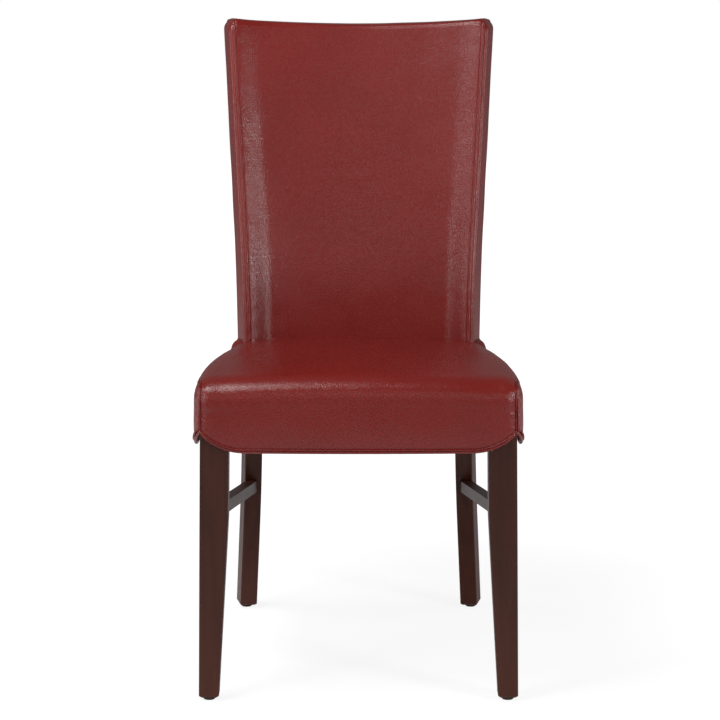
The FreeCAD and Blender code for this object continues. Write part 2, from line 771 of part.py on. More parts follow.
def back_section(height, inset):
    """the back's outline at a height: concave panel, raised bolsters, flat sides, curved rear"""
    rise = (height - size("knee_high")) / (size("back_top") - size("knee_high"))
    middle = post_middle_radius(height)
    front = middle - size("post_depth") / 2 + inset
    crest = front - (size("bolster_low") + (size("bolster_high") - size("bolster_low")) * rise)
    panel = front - size("panel_pad")
    rear = rear_radius(height, inset)
    side = back_side(inset)
    turn = size("back_corner_round") - inset
    seam = side - turn
    foot = seam - size("bolster_width")
    rear_flat = math.sqrt(rear ** 2 - seam ** 2)
    foot_radial = math.sqrt(panel ** 2 - foot ** 2)
    lift = foot_radial - crest
    cut = turn * QUARTER_SHARE
    quarter = size("bolster_width") / 4
    left = [
        radial_point(foot_radial, foot, height),
        radial_point(foot_radial - lift / 8, foot + quarter, height),
        radial_point(foot_radial - lift / 2, foot + 2 * quarter, height),
        radial_point(crest + lift / 8, foot + 3 * quarter, height),
        radial_point(crest, seam, height),
        radial_point(crest + cut, side - cut, height),
        radial_point(crest + turn, side, height),
        radial_point(rear_flat - turn, side, height),
        radial_point(rear_flat - cut, side - cut, height),
        radial_point(rear_flat, seam, height),
    ]
    spans = [3, 3, 3, 2, 3]
    right = [other_side(point) for point in left]
    edges = half_outline(left, spans)
    edges.append(arc(left[-1], Vector(0, back_axis_y() + rear, height), right[-1]))
    edges += half_outline(right[::-1], spans[::-1])
    edges.append(arc(right[0], Vector(0, back_axis_y() + panel, height), left[0]))
    return Part.Wire(edges)


def top_outline(inset, depth):
    """the front view of the back's top: rounded corners and a shallow dish, as a solid to keep"""
    turn = size("back_top_corner") - inset
    top = size("back_top") - inset
    corner_z = top - turn
    rear = rear_radius(corner_z, inset) - size("back_corner_round") / 2
    half = -radial_point(rear, back_side(inset), 0).x
    low = size("knee_high") - 2 * size("trim_overrun")
    cut = turn * QUARTER_SHARE
    left = [
        Vector(-half, -depth, low),
        Vector(-half, -depth, corner_z),
        Vector(-half + cut, -depth, top - cut),
        Vector(-half + turn, -depth, top),
    ]
    right = [other_side(point) for point in left]
    edges = half_outline(left, [2, 3])
    edges.append(arc(left[-1], Vector(0, -depth, top - size("back_top_dish")), right[-1]))
    edges += half_outline(right[::-1], [3, 2])
    edges.append(line(right[0], left[0]))
    return Part.Face(Part.Wire(edges)).extrude(Vector(0, 2 * depth, 0))


def leaning_solid(section, low, high, shoulder=None):
    """sections follow the bend of the posts above the knee and run straight above the bend"""
    bend = amount("Sizes.knee_high + Sizes.recline_bend * sin(Sizes.recline_angle)")
    heights = [low]
    if low < size("knee_high"):
        heights.append(size("knee_high"))
    if low < bend:
        start = heights[-1]
        end = min(high, bend)
        steps = 1 + round((end - start) / size("post_depth"))
        heights += [start + (end - start) * step / steps for step in range(1, steps + 1)]
    heights += [height for height in (shoulder, high) if height and height > heights[-1]]
    return Part.makeLoft([section(height) for height in heights], True, True)


def back_envelope(inset, low):
    """the whole back above a height, inset from its outer surface"""
    high = size("back_top") + size("trim_overrun")
    shoulder = size("back_top") - size("back_top_corner") - size("back_top_roll")
    lofted = leaning_solid(lambda height: back_section(height, inset), low, high, shoulder)
    return lofted.common(top_outline(inset, 2 * size("foot_half_spread"))).Solids[0]


def seat_side_arc(inset):
    """the bowed side of the seat in plan: its front end, its rear corner and its circle"""
    front_y = size("front_face_y") - size("seat_overhang") + size("seat_front_bow")
    start = Vector(-size("seat_half_width") + inset, front_y + size("seat_corner_round"), 0)
    rear = rear_radius(size("cover_bottom"), inset)
    side = back_side(inset)
    corner = radial_point(math.sqrt(rear ** 2 - side ** 2), side, 0)
    chord = corner - start
    outward = Vector(-chord.y, chord.x, 0).normalize()
    bowed = arc(start, start + chord * 0.5 + outward * size("seat_side_bow"), corner)
    return start, corner, bowed.Curve


def on_side_arc(side_arc, y):
    """the point of the bowed side at a place along the seat, and the way back along it"""
    reach = math.sqrt(side_arc.Radius ** 2 - (y - side_arc.Center.y) ** 2)
    point = Vector(side_arc.Center.x - reach, y, 0)
    return point, Vector(y - side_arc.Center.y, reach, 0).normalize()


def seat_front_points(inset):
    front = size("front_face_y") - size("seat_overhang") + inset
    side_y = front - inset + size("seat_front_bow")
    turn = size("seat_corner_round")
    half = size("seat_half_width") - inset
    tangent = turn - inset
    cut = tangent * QUARTER_SHARE
    inner = Vector(-half + tangent, side_y + inset, 0)
    middle = Vector(-half + cut, side_y + inset + cut, 0)
    return front, inner, middle


def lift_to(points, height):
    return [Vector(point.x, point.y, height) for point in points]


def seat_block(inset):
    """the seat's plan run on past its rear, so that its top rolls over on the front and sides alone"""
    start, corner, side_arc = seat_side_arc(inset)
    front, inner, middle = seat_front_points(inset)
    turn = size("seat_corner_round")
    stretch_y = corner.y + 3 * turn
    end, _ = on_side_arc(side_arc, stretch_y)
    between, _ = on_side_arc(side_arc, (start.y + stretch_y) / 2)
    cut = turn * QUARTER_SHARE
    left = lift_to([inner, middle, start, between, end,
                    end + Vector(cut, turn - cut, 0), end + Vector(turn, turn, 0)], size("cover_bottom"))
    right = [other_side(point) for point in left]
    edges = half_outline(left, [3, 3, 3])
    edges.append(line(left[-1], right[-1]))
    edges += half_outline(right[::-1], [3, 3, 3])
    edges.append(arc(right[0], Vector(0, front, size("cover_bottom")), left[0]))
    plan = Part.Face(Part.Wire(edges))
    return plan.extrude(Vector(0, 0, size("seat_crest") - size("cover_bottom") + size("trim_overrun")))


def seat_crown(inset):
    """everything under the crowned top, as a solid turned about a far axis that lies across the seat"""
    across = size("crown_across_bend") - inset
    along = size("crown_along_bend") - inset
    crest = size("seat_crest") - inset
    middle_y = size("front_face_y") - size("seat_overhang") + size("crest_setback")
    half = size("seat_half_width") + 2 * size("trim_overrun")
    drop = across - math.sqrt(across ** 2 - half ** 2)
    low = size("cover_bottom") - 3 * size("trim_overrun")
    left = Vector(-half, middle_y, crest - drop)
    right = other_side(left)
    bottom_left = Vector(-half, middle_y, low)
    bottom_right = other_side(bottom_left)
    edges = [arc(left, Vector(0, middle_y, crest), right), line(right, bottom_right),
             line(bottom_right, bottom_left), line(bottom_left, left)]
    profile = Part.Face(Part.Wire(edges))
    axis = Vector(0, middle_y, crest - along)
    half_turn = math.degrees(math.asin(2 * half / along))
    profile.rotate(axis, Vector(1, 0, 0), -half_turn)
    return profile.revolve(axis, Vector(1, 0, 0), 2 * half_turn)


def seat_plan(inset, low, high):
    """the seat's true plan with its curved rear, as an upright solid"""
    start, corner, side_arc = seat_side_arc(inset)
    front, inner, middle = seat_front_points(inset)
    turn = size("back_join_round") - inset
    side_end, way = on_side_arc(side_arc, corner.y - turn)
    across = post_across()
    rear_start = corner + across * turn
    curve = side_end + (corner - side_end) * (1 - QUARTER_SHARE) + across * turn * QUARTER_SHARE
    between, _ = on_side_arc(side_arc, (start.y + side_end.y) / 2)
    left = lift_to([inner, middle, start, between, side_end, curve, rear_start], low)
    right = [other_side(point) for point in left]
    rear_middle = Vector(0, back_axis_y() + rear_radius(low, inset), low)
    edges = half_outline(left, [3, 3, 3])
    edges.append(arc(left[-1], rear_middle, right[-1]))
    edges += half_outline(right[::-1], [3, 3, 3])
    edges.append(arc(right[0], Vector(0, front, low), left[0]))
    return Part.Face(Part.Wire(edges)).extrude(Vector(0, 0, high - low))


INNER_BEVEL_SHARE = 0.8


def seat_envelope(inset, low):
    """the seat's outer form is rolled over at its top edges, the forms inside it are bevelled"""
    crowned = seat_block(inset).common(seat_crown(inset)).Solids[0]
    rim = []
    for edge in crowned.Edges:
        if min(vertex.Z for vertex in edge.Vertexes) > size("cover_bottom") + size("seat_roll"):
            rim.append(edge)
    if inset:
        rolled = crowned.makeChamfer(size("seat_roll") * INNER_BEVEL_SHARE, rim)
    else:
        rolled = crowned.makeFillet(size("seat_roll"), rim)
    plan = seat_plan(inset, low, size("seat_crest") + size("trim_overrun"))
    return rolled.common(plan).Solids[0]


# Zones: the curved slabs between two distances in front of or behind the middle of the posts
def zone_section(near, far, side, height):
    middle = post_middle_radius(height)
    left = []
    for offset in (near, far):
        left.append(radial_point(math.sqrt((middle + offset) ** 2 - side ** 2), side, height))
    right = [other_side(point) for point in left]
    return Part.Wire([
        line(left[0], left[1]),
        arc(left[1], Vector(0, back_axis_y() + middle + far, height), right[1]),
        line(right[1], right[0]),
        arc(right[0], Vector(0, back_axis_y() + middle + near, height), left[0]),
    ])


def upright_zone(near, far, side, low, high):
    return Part.Face(zone_section(near, far, side, low)).extrude(Vector(0, 0, high - low))


def leaning_zone(near, far, side, low, high):
    return leaning_solid(lambda height: zone_section(near, far, side, height), low, high)


def box(low_x, high_x, low_y, high_y, low_z, high_z):
    return Part.makeBox(high_x - low_x, high_y - low_y, high_z - low_z, Vector(low_x, low_y, low_z))


clearance = size("soft_clearance")
leather = size("leather")
padding_inset = leather + clearance
knee_high = size("knee_high")
half_depth = size("post_depth") / 2
wide = 2 * size("foot_half_spread")
beyond = 2 * size("bolster_width")
seam_side = back_side(0) - size("back_corner_round")
seat_front_y = size("front_face_y") - size("seat_overhang")
boxing_x = -size("seat_half_width") + size("boxing_inset")
boxing_y = seat_front_y + size("seat_front_bow") + size("boxing_inset")

seat_low = size("cover_bottom")
seat_outer = seat_envelope(0, seat_low)
seat_inner = seat_envelope(leather, seat_low)
seat_filling = seat_envelope(padding_inset, seat_low)
back_outer = back_envelope(0, knee_high)
back_inner = back_envelope(leather, knee_high - size("trim_overrun"))
back_filling = back_envelope(padding_inset, knee_high - size("trim_overrun"))


# Where the back stands on the seat: the seat is cut away behind the back's front surface
def back_stand():
    high = size("seat_crest") + size("trim_overrun")
    low = knee_high - clearance
    footprint = Part.Face(back_section(knee_high, -clearance))
    footprint.translate(Vector(0, 0, -clearance))
    stand = [footprint.extrude(Vector(0, 0, high - low))]
    front = size("knee_radius") - half_depth - size("bolster_low") + size("back_corner_round")
    rear = front + 2 * size("post_depth")
    side = back_side(0) - clearance
    corners = [radial_point(front, side, low), radial_point(front, side + beyond, low),
               radial_point(rear, side + beyond, low), radial_point(rear, side, low)]
    for points in (corners, [other_side(point) for point in corners]):
        wedge = Part.Face(Part.makePolygon(points + points[:1]))
        stand.append(wedge.extrude(Vector(0, 0, high - low)))
    return stand[0].fuse(stand[1:])


# The scallops that lift the cover's lower edge over the front legs
def scallop_radius():
    return (size("scallop_reach") ** 2 + size("scallop_rise") ** 2) / (2 * size("scallop_rise"))


def scallop_lift(distance):
    """rise of the lower edge at a distance from the boxing seam towards the middle of a run"""
    along = size("scallop_reach") - min(max(distance, 0), size("scallop_reach"))
    return scallop_radius() - math.sqrt(scallop_radius() ** 2 - along ** 2)


def scallop_profile(corner, base, rise_gap, make_point):
    """outline of the piece cut away below the edge; make_point turns (along, height) into a place"""
    reach = size("scallop_reach")
    out = size("trim_overrun") + size("boxing_inset")
    start = make_point(corner + reach, base + rise_gap)
    middle = make_point(corner + reach / 2, base + rise_gap + scallop_lift(reach / 2))
    top = make_point(corner, base + rise_gap + size("scallop_rise"))
    return Part.Face(Part.Wire([
        arc(start, middle, top),
        line(top, make_point(corner - out, base + rise_gap + size("scallop_rise"))),
        line(make_point(corner - out, base + rise_gap + size("scallop_rise")),
             make_point(corner - out, base - size("trim_overrun"))),
        line(make_point(corner - out, base - size("trim_overrun")),
             make_point(corner + reach, base - size("trim_overrun"))),
        line(make_point(corner + reach, base - size("trim_overrun")), start),
    ]))


def scallops(rise_gap):
    base = size("cover_bottom")
    front = scallop_profile(boxing_x, base, rise_gap,
                            lambda along, height: Vector(along, boxing_y, height))
    front = front.extrude(Vector(0, -size("trim_overrun") - size("boxing_inset") * 2, 0))
    side = scallop_profile(boxing_y, base, rise_gap,
                           lambda along, height: Vector(boxing_x + size("seat_corner_round"), along, height))
    side = side.extrude(Vector(-size("trim_overrun") - size("seat_corner_round") * 2, 0, 0))
    left = front.fuse(side)
    return left.fuse(left.mirror(Vector(0, 0, 0), Vector(1, 0, 0)))


# Leather covers: the walls between the outer and the inner surface, parted at the seams
def largest(shape):
    return max(shape.Solids, key=lambda solid: solid.Volume)


seat_wall = seat_outer.cut(seat_inner)
back_wall = back_outer.cut(back_inner)
rear_offset = rear_radius(knee_high, 0) - post_middle_radius(knee_high)
gap_offset = rear_offset - size("rear_panel_depth")
rear_panel_top = size("back_top") - size("rear_panel_drop")
back_cover_rear = shape_object("rear_cover", leaning_zone(
    rear_offset - leather, rear_offset, seam_side, seat_low, rear_panel_top))
rear_lower_gap = upright_zone(gap_offset, beyond, seam_side + clearance, seat_low - clearance, knee_high)
rear_upper_gap = leaning_zone(gap_offset, beyond, seam_side + clearance, knee_high, rear_panel_top + clearance)

seat_skin = seat_wall.cut([back_stand(), scallops(0), rear_lower_gap])


def seat_side_region(gap):
    """everything beyond the boxing seam on the left, from front to rear"""
    start, corner, side_arc = seat_side_arc(size("boxing_inset") + gap)
    far_start = Vector(start.x, seat_front_y - size("trim_overrun"), start.z)
    far_end = corner + (corner - start).normalize() * beyond
    middle, _ = on_side_arc(side_arc, (start.y + corner.y) / 2)
    points = lift_to([far_start, start, middle, corner, far_end], size("cover_bottom") - size("trim_overrun"))
    edges = half_outline(points, [2, 3, 2])
    outside = points[0] + Vector(-wide, 0, 0)
    outside_end = points[-1] + Vector(-wide, 0, 0)
    edges += [line(points[-1], outside_end), line(outside_end, outside), line(outside, points[0])]
    high = size("seat_crest") + size("trim_overrun")
    return Part.Face(Part.Wire(edges)).extrude(Vector(0, 0, high - points[0].z))


left_boxing = shape_object("left_seat_boxing", largest(seat_skin.common(seat_side_region(0))))
left_region = seat_side_region(clearance)
right_region = left_region.mirror(Vector(0, 0, 0), Vector(1, 0, 0))
seat_cover = shape_object("seat_top_cover", largest(seat_skin.cut([left_region, right_region])))


def beyond_seam(side, way):
    """a block beyond the plane that a back seam lies in; way 1 is outwards, -1 is inwards"""
    low = knee_high - size("trim_overrun")
    near = size("knee_radius") - size("post_depth") * 3
    far = size("knee_radius") + size("back_top") - knee_high
    across = side + way * beyond * 3
    points = [radial_point(near, side, low), radial_point(far, side, low),
              radial_point(far, across, low), radial_point(near, across, low)]
    face = Part.Face(Part.makePolygon(points + points[:1]))
    return face.extrude(Vector(0, 0, size("back_top") - low + size("trim_overrun")))


back_boxing = shape_object("left_back_boxing", largest(back_wall.common(beyond_seam(seam_side + clearance, 1))))
left_block = beyond_seam(seam_side, 1)
right_block = left_block.mirror(Vector(0, 0, 0), Vector(1, 0, 0))
back_cover_front = shape_object("front_cover", largest(back_wall.cut([left_block, right_block, rear_upper_gap])))

# Padding: foam in front of the frame and on the webbing, wadding round the posts and rails
web_top = size("rail_top") + 3 * size("web_thickness") / 2 + size("web_slack") / 2
foam_low = web_top + clearance
post_corner_radius = math.sqrt((size("knee_radius") + half_depth) ** 2 + size("post_thickness") ** 2)
core_rear = post_corner_radius - size("knee_radius") + clearance
core_front = -half_depth - 2 * clearance - size("back_web_thickness")
core_side = size("post_thickness") + clearance

behind_posts = upright_zone(-half_depth - clearance, beyond, beyond, seat_low - clearance, knee_high)
seat_foam_shape = seat_filling.cut([
    back_stand(),
    behind_posts,
    box(-wide, wide, -wide, wide, 0, foam_low),
])
seat_foam = shape_object("seat_filling", largest(seat_foam_shape))


def frame_footprint(low, high):
    """the plan of the legs, rails and posts as one upright block, a clearance larger all round"""
    leg_x = amount("-Sizes.foot_half_spread + Sizes.rail_bottom * tan(Sizes.leg_splay)") - clearance
    front = size("front_face_y") - clearance
    post_front = radial_point(size("knee_radius") - half_depth - clearance, core_side, low)
    post_rear = radial_point(size("knee_radius") + half_depth + clearance, core_side, low)
    left = [Vector(leg_x, front, low), Vector(leg_x, front + size("leg_width"), low), post_front, post_rear]
    right = [other_side(point) for point in left]
    bowed = Vector(0, front - size("front_rail_bow"), low)
    rear = Vector(0, back_axis_y() + post_corner_radius + clearance, low)
    edges = half_outline(left, [2, 2, 2])
    edges.append(arc(left[-1], rear, right[-1]))
    edges += half_outline(right[::-1], [2, 2, 2])
    edges.append(arc(right[0], bowed, left[0]))
    return Part.Face(Part.Wire(edges)).extrude(Vector(0, 0, high - low))


above_foam = box(-wide, wide, -wide, wide, foam_low - clearance, size("seat_crest") + size("trim_overrun"))
rail_padding_shape = seat_filling.cut([
    frame_footprint(seat_low - size("trim_overrun"), size("seat_crest") + size("trim_overrun")),
    above_foam.cut(behind_posts),
    box(-wide, wide, -wide, wide, knee_high - clearance, size("seat_crest") + size("trim_overrun")),
    scallops(leather + clearance),
])
before_legs = box(-wide, wide, -wide, size("front_face_y"), 0, size("seat_crest"))
rail_padding = shape_object("rail_wadding", largest(rail_padding_shape.cut(before_legs)))
front_padding = shape_object("front_wadding", largest(rail_padding_shape.common(before_legs)))

foam_zone = leaning_zone(core_front, beyond, beyond, knee_high - size("trim_overrun"),
                         size("back_top") + size("trim_overrun"))
below_back = box(-wide, wide, -wide, wide, 0, knee_high)
back_foam = shape_object("front_filling", largest(back_filling.cut([foam_zone, below_back])))
wadding_zone = leaning_zone(-beyond * 2, core_front + clearance, beyond, knee_high - size("trim_overrun"),
                            size("back_top") + size("trim_overrun"))
core_zone = leaning_zone(-beyond, core_rear, core_side, knee_high - size("trim_overrun"),
                         size("post_top") + clearance)
back_wadding = shape_object("back_wrap", largest(back_filling.cut([wadding_zone, core_zone, below_back])))

# Webbing: flat bands woven over and under each other on top of the rails
def woven_band(name, places, crossings, start, end, first_side):
    """a band that runs from start to end and passes above or below at each crossing"""
    thick = size("web_thickness")
    step = (thick + size("web_slack")) / 2
    middle = size("rail_top") + thick / 2
    half = size("web_width") / 2 + thick
    profile = [(start, middle)]
    side = first_side
    for crossing in crossings:
        profile += [(crossing - half, middle + side * step), (crossing + half, middle + side * step)]
        side = -side
    profile.append((end, middle))
    top = [Vector(*places(along, height + thick / 2)) for along, height in profile]
    bottom = [Vector(*places(along, height - thick / 2)) for along, height in profile[::-1]]
    return Part.Face(Part.makePolygon(top + bottom + top[:1]))


def rear_rail_reach(x):
    radius = size("knee_radius") + size("rail_thickness") / 2 - size("web_end_margin")
    return back_axis_y() + math.sqrt(radius ** 2 - x ** 2)


def side_rail_reach(y):
    front_x = amount(side_rail_front_x)
    front_y = amount(side_rail_front_y)
    share = (y - front_y) / (amount(side_rail_rear_y) - front_y)
    outer = front_x + (amount(side_rail_rear_x) - front_x) * share
    return -outer - size("web_end_margin")


CROSSWISE_BANDS = 4
SPREAD_SHARE = 2 / 3
opening_front = amount(rail_inner_y)
opening_depth = back_axis_y() + size("knee_radius") - size("rail_thickness") / 2 - opening_front
crosswise_y = [opening_front + opening_depth * step / (CROSSWISE_BANDS + 1) for step in range(1, CROSSWISE_BANDS + 1)]
lengthwise_x = [amount(post_inner_x) * SPREAD_SHARE * side for side in (1, 0, -1)]
half_web = size("web_width") / 2
lengthwise_bands = []
for index, x in enumerate(lengthwise_x):
    front_end = size("front_face_y") + size("web_end_margin")
    rear_end = rear_rail_reach(abs(x) + half_web)
    first = 1 if index % 2 == 0 else -1
    face = woven_band("lengthwise", lambda along, height: (x - half_web, along, height),
                      crosswise_y, front_end, rear_end, first)
    lengthwise_bands.append(shape_object("lengthwise_band_%d" % index, face.extrude(Vector(size("web_width"), 0, 0))))
crosswise_bands = []
for index, y in enumerate(crosswise_y):
    reach = side_rail_reach(y + half_web)
    first = -1 if index % 2 == 0 else 1
    face = woven_band("crosswise", lambda along, height: (along, y - half_web, height),
                      lengthwise_x, -reach, reach, first)
    crosswise_bands.append(shape_object("crosswise_band_%d" % index, face.extrude(Vector(0, size("web_width"), 0))))

back_bands = []
web_front = -half_depth - clearance - size("back_web_thickness")
for low_edge, high_edge in ((size("lower_rail_bottom") + size("back_rail_height"), size("middle_rail_bottom")),
                            (size("middle_rail_bottom") + size("back_rail_height"),
                             size("post_top") - size("back_rail_height"))):
    space = (high_edge - low_edge - 2 * size("back_web_width")) / 3
    for step in range(2):
        low = low_edge + space + step * (size("back_web_width") + space)
        band = leaning_zone(web_front, -half_depth - clearance, size("post_thickness") - size("web_end_margin"),
                            low, low + size("back_web_width"))
        back_bands.append(shape_object("back_band_%d" % len(back_bands), band))


# Welt: a round cord under the cover's lower edge, its ends meeting at the rear
def welt_outline():
    """the left half of the welt's path from the middle of the rear round to the middle of the front"""
    start, corner, side_arc = seat_side_arc(size("welt_inset"))
    front, inner, middle = seat_front_points(size("welt_inset"))
    base = size("cover_bottom") - clearance - size("welt_radius")
    turn = size("back_join_round") - size("welt_inset")
    side_end, _ = on_side_arc(side_arc, corner.y - turn)
    across = post_across()
    rear_start = corner + across * turn
    curve = side_end + (corner - side_end) * (1 - QUARTER_SHARE) + across * turn * QUARTER_SHARE
    gap = clearance / 2
    rear_radial = rear_radius(base, size("welt_inset"))
    rear_end = Vector(-gap, back_axis_y() + math.sqrt(rear_radial ** 2 - gap ** 2), 0)
    rear_between = Vector(rear_start.x / 2, back_axis_y() + math.sqrt(rear_radial ** 2 - rear_start.x ** 2 / 4), 0)
    scallop_end, _ = on_side_arc(side_arc, boxing_y + size("scallop_reach"))
    side_between, _ = on_side_arc(side_arc, (scallop_end.y + side_end.y) / 2)
    front_reach = boxing_x + size("scallop_reach")
    front_radius = arc(inner, Vector(0, front, 0), other_side(inner)).Curve
    front_start = on_front_arc(front_radius, front_reach)
    edges = half_outline(lift_to([rear_end, rear_between, rear_start, curve, side_end, side_between, scallop_end],
                                 base), [3, 3, 3])
    rising = []
    for step in range(1, 5):
        place_on, _ = on_side_arc(side_arc, scallop_end.y - (scallop_end.y - start.y) * step / 5)
        rising.append(place_on)
    rising += [start, middle, inner]
    for step in range(1, 5):
        rising.append(on_front_arc(front_radius, inner.x + (front_reach - inner.x) * step / 5))
    path = [scallop_end] + rising + [front_start]
    lifted = []
    for point in path:
        near_side = point.y - boxing_y if point.y > boxing_y else 0
        near_front = point.x - boxing_x if point.x > boxing_x else 0
        lifted.append(Vector(point.x, point.y, base + scallop_lift(max(near_side, near_front))))
    curve = Part.BSplineCurve()
    heading_in = edges[-1].tangentAt(edges[-1].LastParameter).normalize()
    curve.interpolate(Points=lifted, InitialTangent=heading_in, FinalTangent=Vector(1, 0, 0))
    edges.append(curve.toShape())
    middle_front = lift_to([on_front_arc(front_radius, front_reach / 2)], base)[0]
    edges.append(arc(lifted[-1], middle_front, Vector(0, front, base)))
    return edges


def on_front_arc(circle, x):
    reach = math.sqrt(circle.Radius ** 2 - (x - circle.Center.x) ** 2)
    return Vector(x, circle.Center.y - reach, 0)


RING_SIDES = 8


def ring_at(centre, way, radius):
    """a faceted ring square to the way of travel, begun at its top so that rings line up"""
    up = (Vector(0, 0, 1) - way * way.z).normalize()
    aside = way.cross(up)
    corners = []
    for side in range(RING_SIDES):
        turn = 2 * math.pi * side / RING_SIDES
        corners.append(centre + up * radius * math.cos(turn) + aside * radius * math.sin(turn))
    return Part.makePolygon(corners + corners[:1])


def cord_along(edges, radius):
    """a round cord along joined edges, in short spans where they bend most"""
    rings = []
    for edge in edges:
        span = size("scallop_reach")
        if edge.Length < 3 * span:
            span = span / 6
        spans = max(3, round(edge.Length / span))
        for step in range(1 if rings else 0, spans + 1):
            parameter = edge.FirstParameter + (edge.LastParameter - edge.FirstParameter) * step / spans
            rings.append(ring_at(edge.valueAt(parameter), edge.tangentAt(parameter).normalize(), radius))
    return Part.makeLoft(rings, True, True)


left_welt = cord_along(welt_outline(), size("welt_radius"))
right_welt = left_welt.mirror(Vector(0, 0, 0), Vector(1, 0, 0))
welt = shape_object("cover_welt", left_welt.fuse(right_welt))


# Dust cover: thin cloth under the rails, notched round the legs
def build_dust_cover():
    body = new_body("underside_cloth")
    leg_x = ("(-Sizes.foot_half_spread + Sizes.rail_bottom * tan(Sizes.leg_splay)"
             " + Sizes.leg_width + Sizes.soft_clearance)")
    front_y = "(Sizes.front_face_y + Sizes.dust_cover_margin)"
    leg_y = "(Sizes.front_face_y + Sizes.leg_width + Sizes.soft_clearance)"
    side_front = "(%s + Sizes.dust_cover_margin)" % side_rail_front_x
    side_rear = "(%s + Sizes.dust_cover_margin)" % side_rail_rear_x
    post_y = ("(%s + %s * cos(Sizes.back_angle) - Sizes.post_thickness * sin(Sizes.back_angle)"
              " - Sizes.soft_clearance)" % (back_axis, post_front_radius))
    post_x = ("(-(%s - Sizes.post_thickness * tan(Sizes.back_angle)) * sin(Sizes.back_angle)"
              " + 2 * Sizes.soft_clearance)" % post_front_radius)
    rear_reach = "(Sizes.knee_radius + Sizes.rail_thickness / 2 - Sizes.dust_cover_margin)"
    rear_x = "(-%s * sin(Sizes.back_angle) + 2 * Sizes.soft_clearance)" % rear_reach
    rear_y = "(%s + %s * cos(Sizes.back_angle))" % (back_axis, rear_reach)
    plan = outline(body, "XY_Plane", [
        (leg_x, front_y),
        ("-" + leg_x, front_y),
        ("-" + leg_x, leg_y),
        ("-" + side_front, leg_y),
        ("-" + side_rear, post_y),
        ("-" + post_x, post_y),
        ("-" + rear_x, rear_y, rear_reach, 1),
        (rear_x, rear_y),
        (post_x, post_y),
        (side_rear, post_y),
        (side_front, leg_y),
        (leg_x, leg_y),
    ])
    pad(body, plan, "Sizes.dust_cover_thickness")
    place(body, z="Sizes.rail_bottom - Sizes.dust_cover_thickness")
    doc.recompute()
    return body


dust_cover = build_dust_cover()

# The finished parts: what is made on the left is mirrored to the right
keep(front_leg, "front_leg_left")
keep(back_post, "back_post_left")
keep(left_stretcher, "side_stretcher_left")
keep(cut_with("side_rail_drilled", side_rail, [seat_holes]), "side_seat_rail_left")
keep(cut_with("front_block_drilled", front_block, [front_screw_hole]), "front_corner_block_left")
keep(cut_with("rear_block_drilled", rear_block, [rear_screw_hole]), "rear_corner_block_left")
keep(front_glide, "front_glide_left")
keep(rear_glide, "rear_glide_left")
keep(left_boxing, "seat_side_boxing_left")
keep(back_boxing, "back_side_boxing_left")
for item in list(nodes):
    keep(mirrored(item, item.Label + "_mirror"), item.Label.replace("left", "right"))

both_seat_holes = [seat_holes, right_seat_holes]
rear_screw_holes = [rear_screw_hole, mirrored(rear_screw_hole, "rear_screw_hole_right")]
both_back_holes = [back_holes, right_back_holes]
keep(cut_with("front_rail_drilled", front_rail, both_seat_holes), "front_seat_rail")
keep(cut_with("rear_rail_drilled", rear_rail, both_seat_holes + rear_screw_holes), "rear_seat_rail")
keep(cut_with("lower_rail_drilled", lower_rail, both_back_holes), "lower_back_rail")
keep(cut_with("middle_rail_drilled", middle_rail, both_back_holes), "middle_back_rail")
keep(cut_with("top_rail_drilled", top_rail, both_back_holes), "top_back_rail")
keep(seat_dowels, "seat_rail_dowels")
keep(back_dowels, "back_rail_dowels")
keep(block_screws, "corner_block_screws")
keep(glide_nails, "glide_nails")
for item, where in zip(lengthwise_bands, ("left", "middle", "right")):
    keep(item, "seat_web_lengthwise_" + where)
for item, where in zip(crosswise_bands, ("front", "fore", "aft", "rear")):
    keep(item, "seat_web_crosswise_" + where)
for item, where in zip(back_bands, ("lowest", "lower", "upper", "highest")):
    keep(item, "back_web_" + where)
keep(seat_foam, "seat_foam")
keep(rail_padding, "rail_padding")
keep(front_padding, "front_rail_padding")
keep(seat_cover, "seat_cover")
keep(welt, "seat_welt")
keep(dust_cover, "dust_cover")
keep(back_foam, "back_foam")
keep(back_wadding, "back_wadding")
keep(back_cover_front, "back_cover_front")
keep(back_cover_rear, "back_cover_rear")

doc.recompute()
for item in doc.Objects:
    if "Invalid" in item.State or "Error" in item.State:
        raise RuntimeError("%s does not rebuild: %s" % (item.Label, item.State))
for item in nodes:
    if item.Shape.isNull() or not item.Shape.isValid():
        raise RuntimeError("%s has no valid shape" % item.Label)
os.makedirs("parts", exist_ok=True)
for item in nodes:
    item.Shape.exportStep("parts/%s.step" % item.Label)
print("%d nodes written" % len(nodes))
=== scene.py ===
import math
import bmesh
import bpy
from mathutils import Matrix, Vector, noise


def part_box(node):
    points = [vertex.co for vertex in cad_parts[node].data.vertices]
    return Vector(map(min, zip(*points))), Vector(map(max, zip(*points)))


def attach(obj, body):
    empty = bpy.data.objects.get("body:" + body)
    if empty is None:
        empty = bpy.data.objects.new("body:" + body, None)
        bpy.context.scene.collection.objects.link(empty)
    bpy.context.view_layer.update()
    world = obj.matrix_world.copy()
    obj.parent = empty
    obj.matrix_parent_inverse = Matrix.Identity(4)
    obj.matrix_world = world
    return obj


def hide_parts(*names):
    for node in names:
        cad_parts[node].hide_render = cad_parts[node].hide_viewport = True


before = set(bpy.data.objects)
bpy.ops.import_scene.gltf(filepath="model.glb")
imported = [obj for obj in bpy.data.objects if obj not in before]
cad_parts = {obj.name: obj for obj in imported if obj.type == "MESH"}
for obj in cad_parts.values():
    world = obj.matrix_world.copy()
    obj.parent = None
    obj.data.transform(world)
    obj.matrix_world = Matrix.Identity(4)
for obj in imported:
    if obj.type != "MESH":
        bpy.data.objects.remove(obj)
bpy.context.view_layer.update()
print("frame loaded:", len(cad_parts), "nodes")

